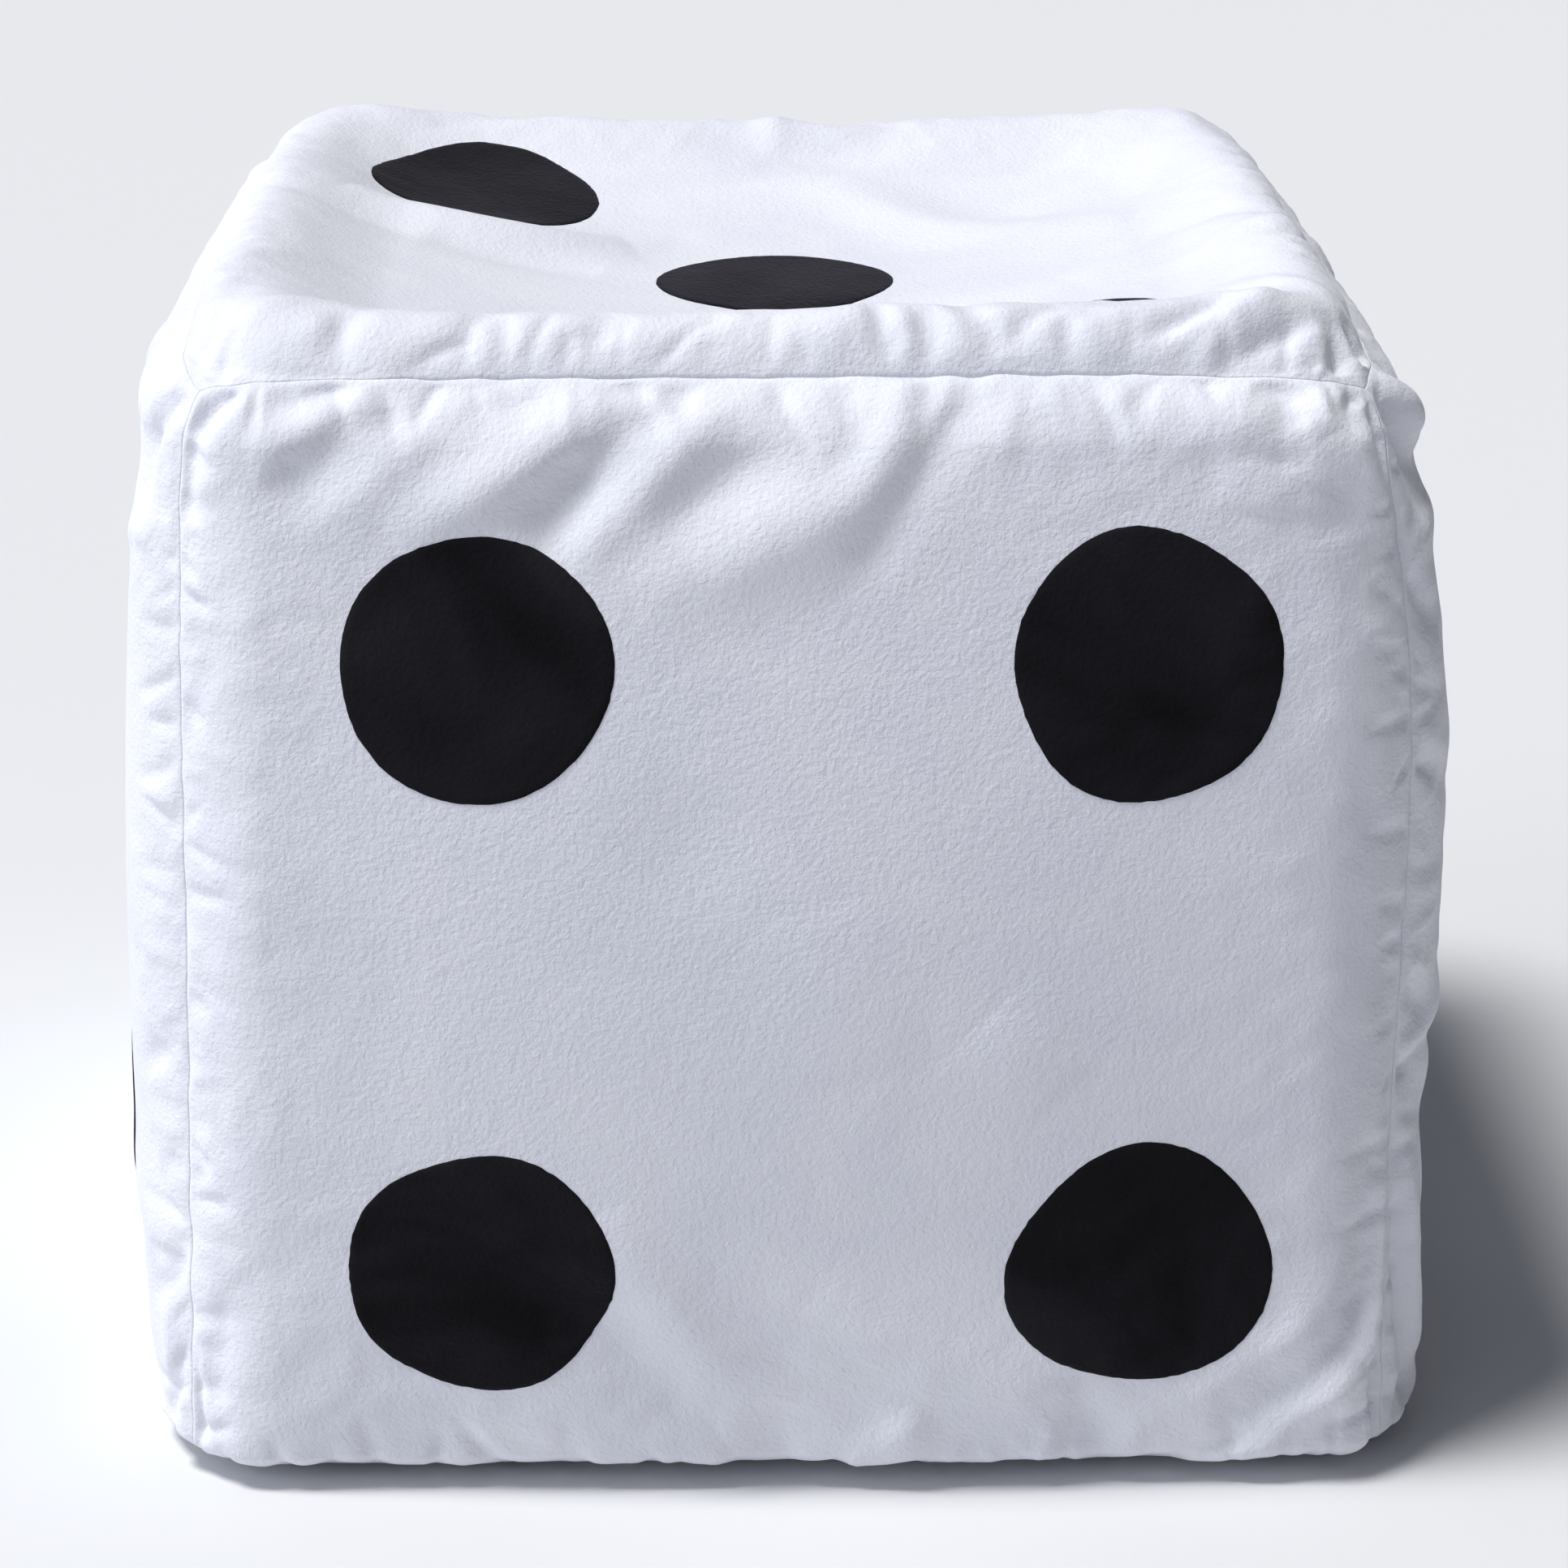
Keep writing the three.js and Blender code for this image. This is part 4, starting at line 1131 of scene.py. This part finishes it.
# Blocks in the zip's frame: low corner, high corner, corner radius. Across, outwards, along.
SLIDER_BLOCKS = [
    ((-4.2, -1.2, 0.3), (4.2, 0, 12.3), 2.4),
    ((-4.2, -3.9, 2.6), (-3.75, -0.6, 10.0), 0.1),
    ((3.75, -3.9, 2.6), (4.2, -0.6, 10.0), 0.1),
    ((-2.9, -0.3, 1.6), (2.9, 0.25, 11.0), 1.8),
    ((-0.8, -0.6, 2.3), (0.8, 3.2, 3.7), 0.3),
    ((-0.8, -0.6, 8.9), (0.8, 3.2, 10.3), 0.3),
    ((-0.8, 2.2, 2.3), (0.8, 3.2, 10.3), 0.5),
]
PULL_BLOCKS = [
    ((-3.4, 0.6, -23.7), (3.4, 1.6, 6.8), 1.5),
    ((-2.5, 0.4, -22.6), (2.5, 1.8, -10.2), 1.1),
]
PULL_HOLES = [
    ((-1.7, -1.0, 0.9), (1.7, 3.0, 5.8), 0.8),
]
PULL_GRIP_ROWS = [-20.6, -18.4, -16.2, -14.0, -11.8]
# Where the bottom and top stops start along the zip, in millimetres.
STOP_STARTS = (-4.0, 390.35)
STOP_BLOCKS = [
    ((-3.3, -3.9, 0), (3.3, -1.6, 3.6), 0.9),
]


def build_zip():
    matrix = zip_frame()
    for side, sign in (("left", -1), ("back", 1)):
        build_coil(side, sign, matrix)
    slider = blocks_object("slider", SLIDER_BLOCKS, [], 0.3, matrix)
    finish_piece(slider, "zip_slider", "zip_slider")
    grips = [((*GRIP_LOW, row), (*GRIP_HIGH, row + GRIP_WIDTH), GRIP_ROUNDING) for row in PULL_GRIP_ROWS]
    pull = blocks_object("pull", PULL_BLOCKS + grips, PULL_HOLES, 0.2, matrix)
    finish_piece(pull, "zip_pull", "zip_pull")
    for end, start in (("bottom", STOP_STARTS[0]), ("top", STOP_STARTS[1])):
        blocks = [((a[0], a[1], a[2] + start), (b[0], b[1], b[2] + start), r) for a, b, r in STOP_BLOCKS]
        stop = blocks_object(f"{end}_stop", blocks, [], 0.4, matrix)
        finish_piece(stop, ROOT, f"zip_{end}_stop")


# --- label
LABEL_ROWS, LABEL_COLUMNS = 12, 10
LABEL_REACH = 24 * MM
LABEL_HEIGHT = 36 * MM
LABEL_LEAN = 5 * MM
LABEL_DROOP = 0.6
LABEL_HALF_GAP = 0.3 * MM
LABEL_WAVE = 1.5 * MM


def build_label():
    """A blank satin flag, folded once, that leans down from its seam."""
    low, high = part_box("care_label")
    root = Vector((low.x, low.y, (low.z + high.z) / 2))
    out = Vector((1, 1, 0)).normalized()
    across = Vector((1, -1, 0)).normalized()
    rows, columns = LABEL_ROWS, LABEL_COLUMNS
    points = []
    for layer in (-1, 1):
        for i in range(rows):
            for j in range(columns):
                u, v = i / (rows - 1), j / (columns - 1)
                reach = LABEL_REACH * u
                lean = LABEL_LEAN * u * u
                side = layer * LABEL_HALF_GAP * (1 - u ** 6) + LABEL_WAVE * math.sin(3 * u + 2 * v) * u
                height = (v - 0.5) * LABEL_HEIGHT - lean * LABEL_DROOP
                points.append(root + out * reach + across * (side + lean) + Vector((0, 0, height)))
    faces = grid_faces(rows, columns).tolist() + grid_faces(rows, columns, rows * columns, True).tolist()
    label = new_object("label", [tuple(p) for p in points], faces, LABEL_SATIN)
    finish_piece(label, ROOT, "care_label")


# --- carried CAD nodes
def dress_cad_nodes():
    """Gives the CAD nodes that stay their materials."""
    dressed = {
        "zip_tape_left": ZIP_TAPE, "zip_tape_back": ZIP_TAPE, "valve_body": VALVE_VINYL,
        "valve_plug": VALVE_VINYL, "valve_flap": VALVE_VINYL, "valve_tether": VALVE_VINYL,
    }
    for name, material in dressed.items():
        for slot in frame["nodes"][name].material_slots:
            slot.link = "OBJECT"
            slot.material = material


# --- stage, lights and camera
CAMERA_PLACE = (-0.036, -1.919, 0.897)
CAMERA_YAW = math.radians(1.21)
CAMERA_PITCH = math.radians(19.22)
CAMERA_LENS = 96.7
SENSOR_WIDTH = 36.0
CLIP_START = 0.05
FLOOR_REACH = 12.0
SKY_LEFT = (0.33, 0.36, 0.43)
SKY_RIGHT = (0.035, 0.034, 0.034)
KEY_FROM = (-0.33, -0.1, 0.94)
KEY_STRENGTH = 2.95
KEY_SPREAD = math.radians(16)
LEFT_FROM = (-0.93, -0.24, 0.28)
LEFT_STRENGTH = 0.95
LEFT_SPREAD = math.radians(35)


def add_camera():
    camera = add_object("camera", bpy.data.cameras.new("camera"))
    camera.data.lens = CAMERA_LENS
    camera.data.sensor_width = SENSOR_WIDTH
    camera.data.clip_start = CLIP_START
    forward = Vector((
        math.sin(CAMERA_YAW) * math.cos(CAMERA_PITCH),
        math.cos(CAMERA_YAW) * math.cos(CAMERA_PITCH),
        -math.sin(CAMERA_PITCH),
    ))
    camera.rotation_mode = "QUATERNION"
    camera.rotation_quaternion = forward.to_track_quat("-Z", "Y")
    camera.location = CAMERA_PLACE
    bpy.context.scene.camera = camera


def add_sun(name, comes_from, strength, spread, colour):
    light = bpy.data.lights.new(name, "SUN")
    light.energy = strength
    light.angle = spread
    light.color = colour
    made = add_object(name, light)
    made.rotation_mode = "QUATERNION"
    made.rotation_quaternion = (-Vector(comes_from)).to_track_quat("-Z", "Y")


def add_stage():
    """A plain floor, a sky that is brighter on the left, and two soft suns."""
    material, nodes, links, shader = new_material("pale_floor")
    set_inputs(shader, Base_Color=(0.72, 0.725, 0.735, 1), Roughness=0.9)
    grain = noise(nodes, links, nodes.new("ShaderNodeTexCoord").outputs["Object"], 30, 3)
    links.new(bump(nodes, links, grain, 0.05, 0.5 * MM), shader.inputs["Normal"])
    reach = FLOOR_REACH
    corners = [(-reach, -reach, 0), (reach, -reach, 0), (reach, reach, 0), (-reach, reach, 0)]
    floor = new_object("floor", corners, [(0, 1, 2, 3)], material, smooth=False)
    world = bpy.data.worlds.new("studio")
    world.use_nodes = True
    tree = world.node_tree
    direction = tree.nodes.new("ShaderNodeTexCoord").outputs["Generated"]
    split = tree.nodes.new("ShaderNodeSeparateXYZ")
    tree.links.new(direction, split.inputs["Vector"])
    side = tree.nodes.new("ShaderNodeMapRange")
    side.inputs["From Min"].default_value = -1
    tree.links.new(split.outputs["X"], side.inputs["Value"])
    sky = ramp(tree.nodes, tree.links, side.outputs["Result"], [(0.1, SKY_LEFT), (0.85, SKY_RIGHT)])
    tree.links.new(sky, tree.nodes["Background"].inputs["Color"])
    bpy.context.scene.world = world
    bpy.context.scene.view_settings.view_transform = "Standard"
    add_sun("key", KEY_FROM, KEY_STRENGTH, KEY_SPREAD, (1.0, 0.995, 0.99))
    add_sun("left_fill", LEFT_FROM, LEFT_STRENGTH, LEFT_SPREAD, (0.9, 0.94, 1.0))


# --- the die
def build_cover():
    moves = simulate_cover()
    rng = np.random.default_rng(PIP_SEED)
    for face in FACES:
        surface = cover_surface(face, moves)
        build_panel(face, surface)
        normals = grid_normals(surface[0], face)
        for name, where in PIPS[face].items():
            build_pip(face, name, pip_place(face, where), surface[0], normals, rng)


for face_name in FACES:
    build_bladder_wall(face_name)
build_webs()
build_cover()
build_zip()
build_label()
dress_cad_nodes()
add_stage()
add_camera()
